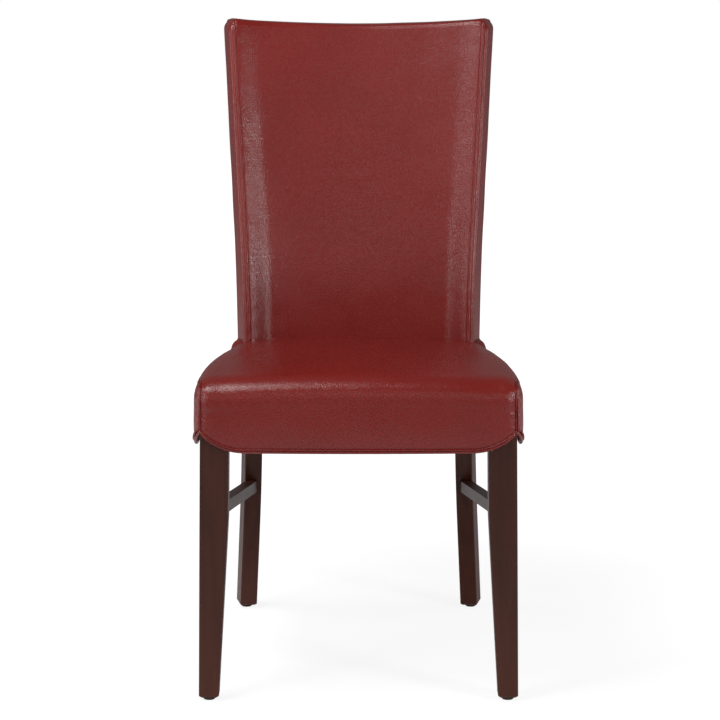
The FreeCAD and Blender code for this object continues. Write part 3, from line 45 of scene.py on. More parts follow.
# Places read from the frame, in metres; the back is curved about an upright axis before the chair
legLow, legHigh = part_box("front_leg_left")
coverLow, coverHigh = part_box("seat_cover")
backLow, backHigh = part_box("back_cover_front")
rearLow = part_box("back_cover_rear")[0]
dustLow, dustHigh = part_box("dust_cover")
frontY = legLow.y
seatBase = coverLow.z
backTop = backHigh.z - 0.0014

framing = {
    "axisLead": 0.2552,
    "backAngle": math.radians(12.8),
    "kneeRadius": 0.7209,
    "kneeHeight": backLow.z,
    "recline": math.radians(14),
    "reclineBend": 0.8,
    "postDepth": 0.037,
    "postThickness": 0.028,
}
axisY = frontY - framing["axisLead"]
turnSin = math.sin(framing["backAngle"])
turnCos = math.cos(framing["backAngle"])
innerArc = framing["kneeRadius"] * framing["backAngle"]


# Curves shared by several pieces
def smooth(share):
    share = min(max(share, 0), 1)
    return share * share * (3 - 2 * share)


def hump(distance, width):
    return math.exp(-((distance / width) ** 2))


# Places from low to high, closer together near the spots
def spread(low, high, coarse, fine=0.001, reach=0.012, spots=()):
    places = [low]
    while places[-1] < high:
        near = min([abs(places[-1] - spot) for spot in spots], default=reach)
        places.append(places[-1] + fine + (coarse - fine) * smooth(near / reach))
    places[-1] = high
    return places


# Distance from the axis to the middle of a post
def postRadius(height):
    above = height - framing["kneeHeight"]
    if above <= 0:
        return framing["kneeRadius"]
    bend = framing["reclineBend"]
    bendHeight = bend * math.sin(framing["recline"])
    if above <= bendHeight:
        return framing["kneeRadius"] + bend - math.sqrt(bend ** 2 - above ** 2)
    straight = (above - bendHeight) * math.tan(framing["recline"])
    return framing["kneeRadius"] + bend * (1 - math.cos(framing["recline"])) + straight


# Plan place at a distance round the back from its middle; past a post's inner face it runs straight
def roundBack(across, radius, height=0):
    side = math.copysign(1, across)
    reach = abs(across)
    if reach <= innerArc:
        angle = reach / framing["kneeRadius"]
        return Vector((side * radius * math.sin(angle), axisY + radius * math.cos(angle), height))
    beyond = reach - innerArc
    x = radius * turnSin + beyond * turnCos
    return Vector((side * x, axisY + radius * turnCos - beyond * turnSin, height))


# Meshes laid over a surface
def meshPiece(name, shape, material):
    mesh = bpy.data.meshes.new(name)
    shape.to_mesh(mesh)
    shape.free()
    for face in mesh.polygons:
        face.use_smooth = True
    piece = bpy.data.objects.new(name, mesh)
    bpy.context.scene.collection.objects.link(piece)
    mesh.materials.append(material)
    return piece


tuck = {"radius": 0.0010, "depth": 0.0026, "steps": 4, "clear": 1.2}


# Stops (place, depth under the surface) whose ends roll under at a seam
def tucked(places, atLow=True, atHigh=True):
    radius, depth = tuck["radius"], tuck["depth"]
    turns = [math.radians(90 * step / tuck["steps"]) for step in range(tuck["steps"] + 1)]
    rolled = [(radius * (1 - math.sin(turn)), radius * (1 - math.cos(turn))) for turn in turns]
    clear = radius * tuck["clear"]
    low, high = places[0], places[-1]
    stops = [(place, 0) for place in places]
    if atLow:
        stops = [stop for stop in stops if stop[0] > low + clear]
        stops = [(low, depth)] + [(low + aside, under) for aside, under in rolled[::-1]] + stops
    if atHigh:
        stops = [stop for stop in stops if stop[0] < high - clear]
        stops = stops + [(high - aside, under) for aside, under in rolled] + [(high, depth)]
    return stops


# A point on, under or above a surface, moved along its normal or away from the heart of the piece
def laidOver(place, relief, across, along, outward, heart=None):
    (column, columnDepth), (row, rowDepth) = across, along
    point = place(column, row)
    lift = relief(column, row, point) - max(columnDepth, rowDepth)
    if heart:
        return point + (point - heart(column, point)).normalized() * lift
    step = 0.0003
    sideways = place(column + step, row) - place(column - step, row)
    upwards = place(column, row + step) - place(column, row - step)
    return point + sideways.cross(upwards).normalized() * outward * lift


def surfaceShape(acrossStops, alongStops, place, relief, outward=1, heart=None):
    shape = bmesh.new()
    columns = len(acrossStops) - 1
    rows = len(alongStops) - 1
    bmesh.ops.create_grid(shape, x_segments=columns, y_segments=rows, size=0.5)
    for vertex in shape.verts:
        column = round((vertex.co.x + 0.5) * columns)
        row = round((vertex.co.y + 0.5) * rows)
        vertex.co = laidOver(place, relief, acrossStops[column], alongStops[row], outward, heart)
    if outward < 0:
        bmesh.ops.reverse_faces(shape, faces=shape.faces)
    return shape


def mirrorShape(shape):
    for vertex in shape.verts:
        vertex.co.x = -vertex.co.x
    bmesh.ops.reverse_faces(shape, faces=shape.faces)


hideThickness = 0.0016


# Leather with a thickness, so that a seam shows an edge and not a line
def thicken(piece):
    wall = piece.modifiers.new("leatherThickness", "SOLIDIFY")
    wall.thickness = hideThickness
    wall.offset = -1
    wall.use_quality_normals = True


# A soft wave from -1 to 1 over about that size
def unevenness(point, size, seed):
    return noise.noise((point + Vector((seed, 0, 0))) / size)


# Shader graphs: a small wrapper that adds a node for each sum
class Value:
    def __init__(self, graph, socket):
        self.graph = graph
        self.socket = socket

    def maths(self, operation, *terms):
        return self.graph.node("ShaderNodeMath", {"operation": operation}, dict(enumerate(terms)))

    def __add__(self, other):
        return self.maths("ADD", self, other)

    def __radd__(self, other):
        return self.maths("ADD", other, self)

    def __sub__(self, other):
        return self.maths("SUBTRACT", self, other)

    def __rsub__(self, other):
        return self.maths("SUBTRACT", other, self)

    def __mul__(self, other):
        return self.maths("MULTIPLY", self, other)

    def __rmul__(self, other):
        return self.maths("MULTIPLY", other, self)

    # 0 below low and 1 above high, smoothly
    def between(self, low, high):
        settings = {"interpolation_type": "SMOOTHSTEP"}
        inputs = {"Value": self, "From Min": low, "From Max": high}
        return self.graph.node("ShaderNodeMapRange", settings, inputs)


# A material and the nodes that feed its surface
class Graph:
    def __init__(self, name, fixed):
        self.material = bpy.data.materials.new(name)
        self.material.use_nodes = True
        self.tree = self.material.node_tree
        self.surface = self.tree.nodes["Principled BSDF"]
        for socket, amount in fixed.items():
            self.surface.inputs[socket].default_value = amount

    def node(self, kind, settings, inputs, output=0):
        made = self.tree.nodes.new(kind)
        for setting, choice in settings.items():
            setattr(made, setting, choice)
        for socket, source in inputs.items():
            if isinstance(source, Value):
                self.tree.links.new(source.socket, made.inputs[socket])
            else:
                made.inputs[socket].default_value = source
        return Value(self, made.outputs[output])

    # Object coordinates, squeezed or stretched along an axis
    def place(self, stretch=(1, 1, 1)):
        coordinates = self.node("ShaderNodeTexCoord", {}, {}, "Object")
        if stretch == (1, 1, 1):
            return coordinates
        return self.node("ShaderNodeVectorMath", {"operation": "MULTIPLY"}, {0: coordinates, 1: stretch})

    def clouds(self, place, scale, detail, roughness=0.5, distortion=0):
        inputs = {"Vector": place, "Scale": scale, "Detail": detail, "Roughness": roughness}
        inputs["Distortion"] = distortion
        return self.node("ShaderNodeTexNoise", {}, inputs, "Fac")

    # Two colours; a constant is three numbers
    def mix(self, factor, first, second):
        terms = [(*colour, 1) if isinstance(colour, tuple) else colour for colour in (first, second)]
        return self.node("ShaderNodeMix", {"data_type": "RGBA"}, {0: factor, 6: terms[0], 7: terms[1]}, 2)

    def bump(self, height, distance, strength):
        inputs = {"Height": height, "Distance": distance, "Strength": strength}
        return self.node("ShaderNodeBump", {}, inputs, "Normal")

    def feed(self, **sources):
        names = {"colour": "Base Color", "roughness": "Roughness", "normal": "Normal"}
        for short, source in sources.items():
            self.tree.links.new(source.socket, self.surface.inputs[names[short]])
        return self.material


# Brick red bonded leather with a fine pebbled grain
def leatherMaterial():
    finish = {"red": (0.165, 0.0075, 0.0048), "deep": (0.110, 0.0042, 0.0028), "grain": 620, "pores": 1600}
    graph = Graph("leather", {"Specular IOR Level": 0.5})
    place = graph.place()
    wander = graph.clouds(place, 90, 2)
    warped = graph.node("ShaderNodeVectorMath", {"operation": "MULTIPLY_ADD"},
                        {0: wander, 1: (0.004, 0.004, 0.004), 2: place})
    pebbles = graph.node("ShaderNodeTexVoronoi", {"feature": "SMOOTH_F1"},
                         {"Vector": warped, "Scale": finish["grain"], "Smoothness": 0.35}, "Distance")
    pores = graph.clouds(place, finish["pores"], 1)
    creases = graph.clouds(warped, 150, 3, 0.6)
    height = 1 - pebbles * 1.3 + pores * 0.25 + creases * 0.5
    broad = graph.clouds(place, 9, 2)
    valley = pebbles.between(0.45, 0.85)
    tone = graph.mix(broad.between(0.3, 0.7), finish["red"], (0.182, 0.0088, 0.0058))
    colour = graph.mix(valley * 0.45, tone, finish["deep"])
    roughness = 0.22 + broad * 0.07 + valley * 0.14
    return graph.feed(colour=colour, roughness=roughness, normal=graph.bump(height, 0.0004, 0.5))


def threadMaterial():
    graph = Graph("seamThread", {"Roughness": 0.6, "Sheen Weight": 0.3})
    place = graph.place()
    twist = graph.clouds(place, 1800, 1)
    colour = graph.mix(twist, (0.28, 0.060, 0.052), (0.42, 0.13, 0.11))
    return graph.feed(colour=colour, normal=graph.bump(twist, 0.0001, 0.4))


# Stained hardwood; along is the axis that the grain follows; below a given height the colour is painted
# lighter towards the floor, a painted light for the light that reaches the lower legs out of the seat's shade
def woodMaterial(name, along, dark, light, paintedLightBelow=None, roughness=0.34):
    graph = Graph(name, {"Specular IOR Level": 0.28})
    stretch = tuple(1 if axis == along else 14 for axis in range(3))
    place = graph.place(stretch)
    figure = graph.clouds(place, 6, 4, 0.6, 0.6)
    fibres = graph.clouds(graph.place(tuple(0.6 * factor for factor in stretch)), 60, 3, 0.7)
    pores = fibres.between(0.62, 0.75)
    tone = graph.mix(figure.between(0.3, 0.7), dark, light)
    colour = graph.mix(pores * 0.5, tone, tuple(part * 0.5 for part in dark))
    if paintedLightBelow:
        # Painted light: the colour turns lighter below that height towards the floor, standing in for light
        # on the lower legs, while higher up stays dark as in the seat's shade
        height = graph.node("ShaderNodeSeparateXYZ", {}, {0: graph.place()}, "Z")
        low = 1 - height.between(0, paintedLightBelow)
        colour = graph.mix(low * 0.45, colour, tuple(part * 1.7 for part in light))
    rough = roughness + figure * 0.1 + pores * 0.15
    return graph.feed(colour=colour, roughness=rough, normal=graph.bump(fibres, 0.0001, 0.35))


def foamMaterial(name, pale, yellow, scale):
    graph = Graph(name, {"Roughness": 0.95, "Subsurface Weight": 0.05})
    place = graph.place()
    cells = graph.node("ShaderNodeTexVoronoi", {}, {"Vector": place, "Scale": scale}, "Distance")
    cloud = graph.clouds(place, 14, 3)
    colour = graph.mix(cells * 0.5 + cloud * 0.4, yellow, pale)
    return graph.feed(colour=colour, normal=graph.bump(cells, 0.0006, 0.6))


# A plain weave whose threads run along two axes
def wovenMaterial(name, light, dark, thread, across=(0, 1)):
    graph = Graph(name, {"Roughness": 0.85, "Sheen Weight": 0.2})
    place = graph.place()
    axes = [graph.node("ShaderNodeSeparateXYZ", {}, {0: place}, "XYZ"[axis]) for axis in across]
    waves = [axis.maths("SINE", axis * (2 * math.pi / thread)) for axis in axes]
    weave = waves[0] * waves[1]
    fuzz = graph.clouds(place, 700, 2)
    colour = graph.mix(weave * 0.5 + 0.5, dark, light)
    blend = graph.mix(fuzz * 0.4, colour, dark)
    return graph.feed(colour=blend, normal=graph.bump(weave + fuzz * 0.5, 0.0003, 0.7))


def metalMaterial():
    graph = Graph("fastenerSteel", {"Metallic": 1})
    place = graph.place()
    smear = graph.clouds(place, 160, 3)
    colour = graph.mix(smear, (0.42, 0.40, 0.36), (0.62, 0.60, 0.57))
    return graph.feed(colour=colour, roughness=0.28 + smear * 0.25, normal=graph.bump(smear, 0.0001, 0.2))


def glideMaterial():
    graph = Graph("glidePlastic", {"Specular IOR Level": 0.4})
    place = graph.place()
    scuffs = graph.clouds(place, 260, 3, 0.6)
    colour = graph.mix(scuffs.between(0.45, 0.7), (0.030, 0.022, 0.018), (0.075, 0.055, 0.045))
    return graph.feed(colour=colour, roughness=0.4 + scuffs * 0.25, normal=graph.bump(scuffs, 0.0001, 0.3))


leather = leatherMaterial()
thread = threadMaterial()
espresso = {"dark": (0.034, 0.0070, 0.0032), "light": (0.053, 0.0125, 0.0058)}
raw = {"dark": (0.42, 0.28, 0.15), "light": (0.55, 0.40, 0.24)}
strap = {"light": (0.50, 0.38, 0.22), "dark": (0.16, 0.10, 0.05), "thread": 0.003}
materials = {
    # legs and posts: painted light, lighter towards the floor below 0.20 m
    "stainedUpright": woodMaterial("stainedUpright", 2, **espresso, paintedLightBelow=0.20),
    "stainedLengthwise": woodMaterial("stainedLengthwise", 1, **espresso),
    "frameAcross": woodMaterial("frameAcross", 0, **raw, roughness=0.6),
    "frameLengthwise": woodMaterial("frameLengthwise", 1, **raw, roughness=0.6),
    "foam": foamMaterial("foam", (0.75, 0.68, 0.45), (0.62, 0.52, 0.28), 420),
    "wadding": foamMaterial("wadding", (0.85, 0.85, 0.82), (0.72, 0.72, 0.68), 160),
    "webbing": wovenMaterial("webbing", **strap),
    "backWebbing": wovenMaterial("backWebbing", **strap, across=(0, 2)),
    "dustCloth": wovenMaterial("dustCloth", (0.022, 0.021, 0.022), (0.006, 0.006, 0.006), 0.0012),
    "steel": metalMaterial(),
    "glide": glideMaterial(),
}
print("materials ready:", len(materials) + 2)

# The back: a concave panel between raised bolsters, boxed at the sides and closed behind
back = {
    "low": 0.440,
    "sidePad": 0.006,
    "rearPad": 0.0065,
    "panelPad": 0.012,
    "bolsterLow": 0.025,
    "bolsterHigh": 0.014,
    "bolsterWidth": 0.042,
    "cornerRound": 0.007,
    "topDish": 0.009,
    "topCorner": 0.016,
    "topRoll": 0.005,
    "rearDrop": 0.010,
    "topCrown": 0.0004,
    "stitchInset": 0.0034,
    "gatherPitch": 0.0042,
}
seamArc = innerArc + framing["postThickness"] + back["sidePad"] - back["cornerRound"]
sideArc = seamArc + back["cornerRound"]
footArc = seamArc - back["bolsterWidth"]


def rearRadius(height):
    return postRadius(height) + framing["postDepth"] / 2 + back["rearPad"]


# Thickness of the padding before the posts: thin on the panel, thick on the bolsters
def padAt(across, height):
    rise = (height - framing["kneeHeight"]) / (backTop - framing["kneeHeight"])
    crest = back["bolsterLow"] + (back["bolsterHigh"] - back["bolsterLow"]) * min(max(rise, 0), 1)
    share = (abs(across) - footArc) / back["bolsterWidth"]
    return back["panelPad"] + (crest - back["panelPad"]) * smooth(share)


def frontRadius(across, height):
    return postRadius(height) - framing["postDepth"] / 2 - padAt(across, height)


dishHalf = sideArc - back["topCorner"]
cornerHeight = backTop - back["topCorner"]


# The back's upper outline, or a line that far inside it: a shallow dish between rounded corners
def topHeight(across, inset=0):
    reach = abs(across)
    if reach <= dishHalf:
        return backTop - back["topDish"] * (1 - (reach / dishHalf) ** 2) - inset
    corner = back["topCorner"] - inset
    return cornerHeight + math.sqrt(max(corner ** 2 - (reach - dishHalf) ** 2, 0))


# The top edge's roundness grows to that of the sides at the seams
def topRollAt(across):
    share = 1 - (seamArc - abs(across)) / 0.03
    return back["topRoll"] + (back["cornerRound"] - back["topRoll"]) * smooth(share)


# The rear surface's radius, which past the posts' inner faces is measured in their planes
def rearInPlane(across, height):
    beyond = max(abs(across) - innerArc, 0)
    return math.sqrt(rearRadius(height) ** 2 - beyond ** 2)


# Lengths of the front panel's parts, from the seat over the top to the seam behind
backRun = {
    "face": backTop - back["topRoll"] - back["low"],
    "roll": back["topRoll"] * math.pi / 2,
    "top": rearRadius(backTop) - frontRadius(0, backTop) - 2 * back["topRoll"],
    "rear": back["rearDrop"] - back["topRoll"],
}
backLength = backRun["face"] + 2 * backRun["roll"] + backRun["top"] + backRun["rear"]


# Up the front, over the rolled top and down to the seam behind
def backPanelPlace(across, along):
    roll = topRollAt(across)
    front = frontRadius(across, topHeight(across))
    rear = rearInPlane(across, topHeight(across))
    afterFace = along - backRun["face"]
    afterRoll = afterFace - backRun["roll"]
    afterTop = afterRoll - backRun["top"]
    if afterFace <= 0:
        height = back["low"] + (topHeight(across, roll) - back["low"]) * along / backRun["face"]
        radius = frontRadius(across, height)
    elif afterRoll <= 0:
        angle = afterFace / back["topRoll"]
        height = topHeight(across, roll * (1 - math.sin(angle)))
        radius = front + roll * (1 - math.cos(angle))
    elif afterTop <= 0:
        share = afterRoll / backRun["top"]
        height = topHeight(across) + back["topCrown"] * math.sin(math.pi * share)
        radius = front + roll + (rear - front - 2 * roll) * share
    else:
        angle = min(afterTop / back["topRoll"], math.pi / 2)
        height = topHeight(across, roll * (1 - math.cos(angle))) - max(afterTop - backRun["roll"], 0)
        radius = rear - roll + roll * math.sin(angle)
    return roundBack(across, radius, height)


# A ridge between a seam and its topstitch, and the groove that the stitch pulls in
def seamRelief(distance):
    inset = back["stitchInset"]
    return 0.0004 * hump(distance - inset / 2, 0.0012) - 0.0005 * hump(distance - inset, 0.0008)


def backPanelRelief(across, along, point):
    inside = seamArc - abs(across)
    soft = 0.0009 * unevenness(point, 0.09, 3) + 0.0003 * unevenness(point, 0.035, 8)
    wander = 2 * unevenness(point, 0.03, 5)
    gathers = 0.00025 * hump(inside, 0.012) * math.sin(along / back["gatherPitch"] + wander)
    return soft + gathers + seamRelief(inside)


# The same padded leather piece for each side asked for
def build(name, acrossStops, alongStops, place, relief, outward, replaced, sides=(1,), heart=None):
    for side in sides:
        shape = surfaceShape(acrossStops, alongStops, place, relief, outward, heart)
        label = name
        if len(sides) > 1:
            label = name + ("Left" if side < 0 else "Right")
        if side < 0:
            mirrorShape(shape)
        piece = meshPiece(label, shape, leather)
        thicken(piece)
        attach(piece, "root")
        nodes = [node % ("left" if side < 0 else "right") if "%s" in node else node for node in replaced]
        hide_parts(*nodes)


# A place in the middle of the padding, straight behind the point but clear of the edges
def panelHeart(across, point):
    height = min(point.z, cornerHeight - 0.008)
    inside = math.copysign(min(abs(across), seamArc - 0.006), across)
    return roundBack(inside, postRadius(height), height)


seams = [-seamArc + back["stitchInset"], seamArc - back["stitchInset"]]
panelAcross = tucked(spread(-seamArc + 0.0002, seamArc - 0.0002, 0.005, 0.0006, 0.02, seams))
panelAlong = tucked(spread(0, backLength, 0.005, 0.0012, 0.03, [backRun["face"], backLength]), atLow=False)
build("backFrontCover", panelAcross, panelAlong, backPanelPlace, backPanelRelief, -1,
      ["back_cover_front", "back_foam"], heart=panelHeart)
print("back panel ready")


# Round the boxing from its front seam to its rear one: radius and outward reach
def boxingDepth(share, front, rear):
    corner = back["cornerRound"]
    arc = corner * math.pi / 2
    flat = rear - front - 2 * corner
    along = share * (2 * arc + flat)
    if along < arc:
        angle = along / corner
        return front + corner * (1 - math.cos(angle)), corner * math.sin(angle)
    if along < arc + flat:
        return front + corner + along - arc, corner
    angle = min((along - arc - flat) / corner, math.pi / 2)
    return rear - corner + corner * math.sin(angle), corner * math.cos(angle)


boxing = {
    "low": 0.4505,
    "dip": 0.020,  # the lower edge goes down at the front, into the seat
    "dipWidth": 0.016,
    "dipEase": 0.010,
    "tuckIn": 0.0007,  # where it stands behind the seat's boxing
    "overlap": 0.0008,
    "wide": 0.064,
    "edge": 0.0155,
}
boxingRun = {"face": cornerHeight - boxing["low"], "edge": boxing["edge"]}
boxingLength = boxingRun["face"] + boxingRun["edge"]
boxingWide = boxing["wide"]


# Across runs from the front seam to the rear one, along runs up the side and in over the corner
def backBoxingPlace(across, along):
    share = min(max(across / boxingWide, -0.01), 1.01)
    behind = smooth((share * boxingWide - boxing["dipWidth"]) / boxing["dipEase"])
    low = boxing["low"] - boxing["dip"] * (1 - behind)
    height = low + (cornerHeight - low) * min(along / boxingRun["face"], 1)
    reach = boxingDepth(share, frontRadius(seamArc, height), rearInPlane(sideArc, height))[1]
    inner = back["topCorner"] - back["cornerRound"]
    if along <= boxingRun["face"]:
        hidden = smooth((boxing["low"] - 0.0005 - height) / 0.002)
        out = inner + reach - boxing["tuckIn"] * hidden
    else:
        corner = math.acos((inner - boxing["overlap"]) / (inner + max(reach, 0)))
        angle = corner * (along - boxingRun["face"]) / boxingRun["edge"]
        height = cornerHeight + (inner + reach) * math.sin(angle)
        out = (inner + reach) * math.cos(angle)
    radius = boxingDepth(share, frontRadius(seamArc, height), rearInPlane(sideArc, height))[0]
    return roundBack(dishHalf + out, radius, height)


def postHeart(across, point):
    height = min(point.z, cornerHeight)
    return roundBack(innerArc + framing["postThickness"] / 2, postRadius(height), height)


def backBoxingRelief(across, along, point):
    soft = 0.0005 * unevenness(point, 0.06, 21)
    gathers = 0.0002 * hump(across, 0.008) * math.sin(along / back["gatherPitch"])
    return soft + gathers


boxingAcross = tucked(spread(0.0002, boxingWide - 0.0002, 0.003, 0.0008, 0.012, [0, 0.006, boxingWide]))
boxingAlong = tucked(spread(0, boxingLength, 0.005, 0.0010, 0.02, [boxingRun["face"], boxingLength]))
build("backSideBoxing", boxingAcross, boxingAlong, backBoxingPlace, backBoxingRelief, 1,
      ["back_side_boxing_%s"], sides=(-1, 1), heart=postHeart)
print("back boxings ready")

# The rear panel: one skin from the seat's lower edge to just under the top
rearPanel = {"low": rearLow.z, "topDrop": back["rearDrop"]}
rearLength = backTop - rearPanel["topDrop"] - rearPanel["low"]


def rearPanelPlace(across, along):
    top = topHeight(across, topRollAt(across)) - rearPanel["topDrop"] + back["topRoll"]
    height = rearPanel["low"] + (top - rearPanel["low"]) * along / rearLength
    return roundBack(across, rearInPlane(across, height), height)


def rearPanelRelief(across, along, point):
    inside = seamArc - abs(across)
    return 0.0008 * unevenness(point, 0.1, 40) + 0.0008 * smooth(inside / 0.03) + seamRelief(inside)


rearAlong = tucked(spread(0, rearLength, 0.006, 0.0010, 0.02, [0, rearLength]))
build("backRearCover", panelAcross, rearAlong, rearPanelPlace, rearPanelRelief, 1,
      ["back_cover_rear", "back_wadding"])
print("rear panel ready")

# The seat: crowned, rolled at the front and sides, boxed at the sides, scalloped over the front legs
seat = {
    "overhang": 0.010,
    "frontBow": 0.006,
    "halfWidth": 0.2384,
    "sideBow": 0.0101,
    "crest": coverHigh.z,
    "frontReach": 0.056,
    "sideReach": 0.038,
    "rearReach": 0.072,
    "rollHeight": 0.042,
    "fullness": 2.9,
    "cornerPower": 3.3,
    "acrossBend": 3.3,
    "alongBend": 3.2,
    "crestSetback": 0.095,
    "frontInset": 0.011,
    "sideInset": 0.003,
    "rearInset": 0.004,
    "underBack": 0.002,
    "shoulderHeight": 0.016,
    "insetRun": 0.09,
    "scallopRise": 0.026,
    "scallopReach": 0.062,
    "bulge": 0.0012,
    "rearCorner": 0.008,
    "rearRadius": 0.7024,
    "rearEdge": 0.12,
    "meetsBack": 0.46,
    "besideStart": 0.008,
    "besideRun": 0.03,
    "seamFrom": 0.02,
    "edgeTuck": 0.0016,
    "edgeDepth": 0.004,
}
seatFront = frontY - seat["overhang"]
cornerX = seat["halfWidth"] - seat["sideReach"]
cornerY = seatFront + seat["frontBow"] + seat["frontReach"]
boxingX = seat["halfWidth"] - seat["frontInset"]
boxingY = seatFront + seat["frontBow"] + seat["frontInset"]
rearSide = math.sqrt(rearRadius(seatBase) ** 2 - (sideArc - innerArc) ** 2)
rearCorner = roundBack(sideArc, rearSide)
backStart = roundBack(sideArc, frontRadius(seamArc, seat["meetsBack"]))
backStartY = backStart.y


# The bowed side's distance from the middle
def sideX(y):
    share = (max(y, cornerY) - cornerY) / (rearCorner.y - cornerY)
    straight = seat["halfWidth"] + (rearCorner.x - seat["halfWidth"]) * share
    return straight + 4 * seat["sideBow"] * share * (1 - share)


# The bowed front line, before its corners turn
def lineY(x):
    return seatFront + seat["frontBow"] * (min(abs(x), cornerX) / cornerX) ** 2


# The other way's share round a corner of the outline
def cornerTurn(share):
    power = seat["cornerPower"]
    return max(1 - min(max(share, 0), 1) ** power, 0) ** (1 / power)


# How far in from the side the roll reaches; softer towards the back
def sideRoll(y):
    backwards = smooth((y - cornerY) / (backStartY - cornerY))
    return seat["sideReach"] + (seat["rearReach"] - seat["sideReach"]) * backwards


# Fall of a roll as a share of its reach, from 0 on the flat to 1 at the wall
def rollFall(share):
    fullness = seat["fullness"]
    return 1 - max(1 - min(max(share, 0), 1) ** fullness, 0) ** (1 / fullness)


def crownHeight(x, y):
    middle = seatFront + seat["crestSetback"]
    x = min(abs(x), sideX(y) - sideRoll(y))
    y = max(y, lineY(x) + seat["frontReach"])
    return seat["crest"] - x ** 2 / (2 * seat["acrossBend"]) - (y - middle) ** 2 / (2 * seat["alongBend"])


def seatHeight(x, y):
    power = seat["cornerPower"]
    sideways = max(1 - (sideX(y) - abs(x)) / sideRoll(y), 0)
    forwards = max(1 - (y - lineY(x)) / seat["frontReach"], 0)
    share = (sideways ** power + forwards ** power) ** (1 / power)
    return crownHeight(x, y) - seat["rollHeight"] * rollFall(share)


# The boxing's seam stands in from the side at the front and works out towards it further back
seamTurn = cornerTurn(1 - seat["frontInset"] / seat["sideReach"])
seamFrontY = lineY(boxingX) + seat["frontReach"] * (1 - seamTurn)


# The seat's reach outside the side of the back, from the back's front to its rear corner
def shoulder(y):
    return max(sideX(y) - backStart.x - (y - backStart.y) * turnSin / turnCos, 0)


def seamX(y):
    closing = smooth((y - seamFrontY) / seat["insetRun"])
    rearwards = smooth((y - backStartY) / 0.12 + 1)
    inset = seat["frontInset"] + (seat["sideInset"] - seat["frontInset"]) * closing
    inset = inset + seat["rearInset"] * rearwards
    under = smooth((y - backStartY - 0.002) / 0.012)
    return sideX(y) - inset - (shoulder(y) + seat["underBack"] - inset) * under


scallopRadius = (seat["scallopReach"] ** 2 + seat["scallopRise"] ** 2) / (2 * seat["scallopRise"])


def scallopLift(distance):
    along = seat["scallopReach"] - min(max(distance, 0), seat["scallopReach"])
    return scallopRadius - math.sqrt(scallopRadius ** 2 - along ** 2)


# The foam pushes the upright faces out a little above their middle
def bulgeAt(height, top):
    share = min(max((height - seatBase) / (top - seatBase), 0), 1)
    return seat["bulge"] * math.sin(math.pi * share ** 0.8) - 0.0006 * (1 - share)


rearEdgeX = seamX(seat["rearEdge"])
rearEdgeY = axisY + math.sqrt(seat["rearRadius"] ** 2 - rearEdgeX ** 2)


# Along 0 to 1 is the top, to 2 the roll, to 3 the face down to the lower edge; one unit is 100 mm
def seatCoverPlace(across, along):
    share = min(max(across / boxingX, -1), 1)
    along = along * 10
    roll = seat["frontReach"]
    column = share * boxingX
    if along <= 1:
        edgeY = rearEdgeY + (lineY(boxingX) + roll - rearEdgeY) * along
        rearY = axisY + math.sqrt(seat["rearRadius"] ** 2 - (share * rearEdgeX) ** 2)
        y = rearY + (lineY(column) + roll - rearY) * along
        x = share * seamX(edgeY)
        return Vector((x, y, seatHeight(x, y)))
    turned = math.sin(min(along - 1, 1) * math.pi / 2) ** (2 / seat["fullness"])
    x = share * seamX(lineY(boxingX) + roll * (1 - seamTurn * turned))
    out = cornerTurn((abs(x) - cornerX) / seat["sideReach"])
    y = lineY(x) + roll * (1 - out * turned)
    if along <= 2:
        return Vector((x, y, seatHeight(x, y)))
    wallTop = seatHeight(x, y)
    low = seatBase + scallopLift(boxingX - abs(column))
    height = wallTop + (low - wallTop) * min(along - 2, 1.05)
    centre = Vector((math.copysign(min(abs(x), cornerX), x), lineY(x) + roll, 0))
    foot = Vector((x, y, 0))
    point = foot + (foot - centre).normalized() * bulgeAt(height, wallTop)
    return Vector((point.x, point.y, height))


meetHeight = 0.47


# Where the back's face meets the seat
def backFrontY(x):
    reach = abs(x)
    panel, bolster = [frontRadius(place, meetHeight) for place in (0, seamArc)]
    if reach < panel * turnSin - back["bolsterWidth"] / 2:
        return axisY + math.sqrt(panel ** 2 - reach ** 2)
    return axisY + math.sqrt(bolster ** 2 - reach ** 2)


pucker = {"height": 0.462, "setback": 0.012, "reach": 0.03, "cover": 0.0011, "boxing": 0.0009, "seam": 0.02}


def seatCoverRelief(across, along, point):
    inside = boxingX - abs(across)
    soft = 0.0011 * unevenness(point, 0.11, 60) + 0.0004 * unevenness(point, 0.04, 66)
    behind = point.y - backFrontY(point.x)
    dip = -0.002 * smooth(1 + behind / 0.03)
    corner = Vector((math.copysign(boxingX, point.x), seatFront + pucker["setback"], pucker["height"]))
    strength = pucker["cover"] * hump((point - corner).length, pucker["reach"]) * hump(inside, pucker["seam"])
    puckers = strength * math.sin(along * 10 / 0.16 + 3 * unevenness(point, 0.02, 70))
    gathers = 0.0002 * hump(inside, 0.01) * math.sin(along * 10 / 0.045)
    return soft + dip + puckers + gathers + seamRelief(inside)


coverAcross = tucked(spread(-boxingX + 0.0002, boxingX - 0.0002, 0.0055, 0.0007, 0.02,
                            [-boxingX + back["stitchInset"], boxingX - back["stitchInset"]]))
coverAlong = [(0.0005 * step, 0) for step in range(12)]
coverAlong += [(place / 10, 0) for place in spread(0.06, 3, 0.022, 0.012, 0.6, [1.2, 2])]
coverAlong += [(0.3, seat["edgeTuck"]), (0.3, seat["edgeDepth"])]
build("seatCover", coverAcross, coverAlong, seatCoverPlace, seatCoverRelief, 1,
      ["seat_cover", "seat_foam", "rail_padding", "front_rail_padding"])
print("seat cover ready")

outlineSteps = {"front": 60, "corner": 30, "side": 120, "turn": 8, "rear": 60}


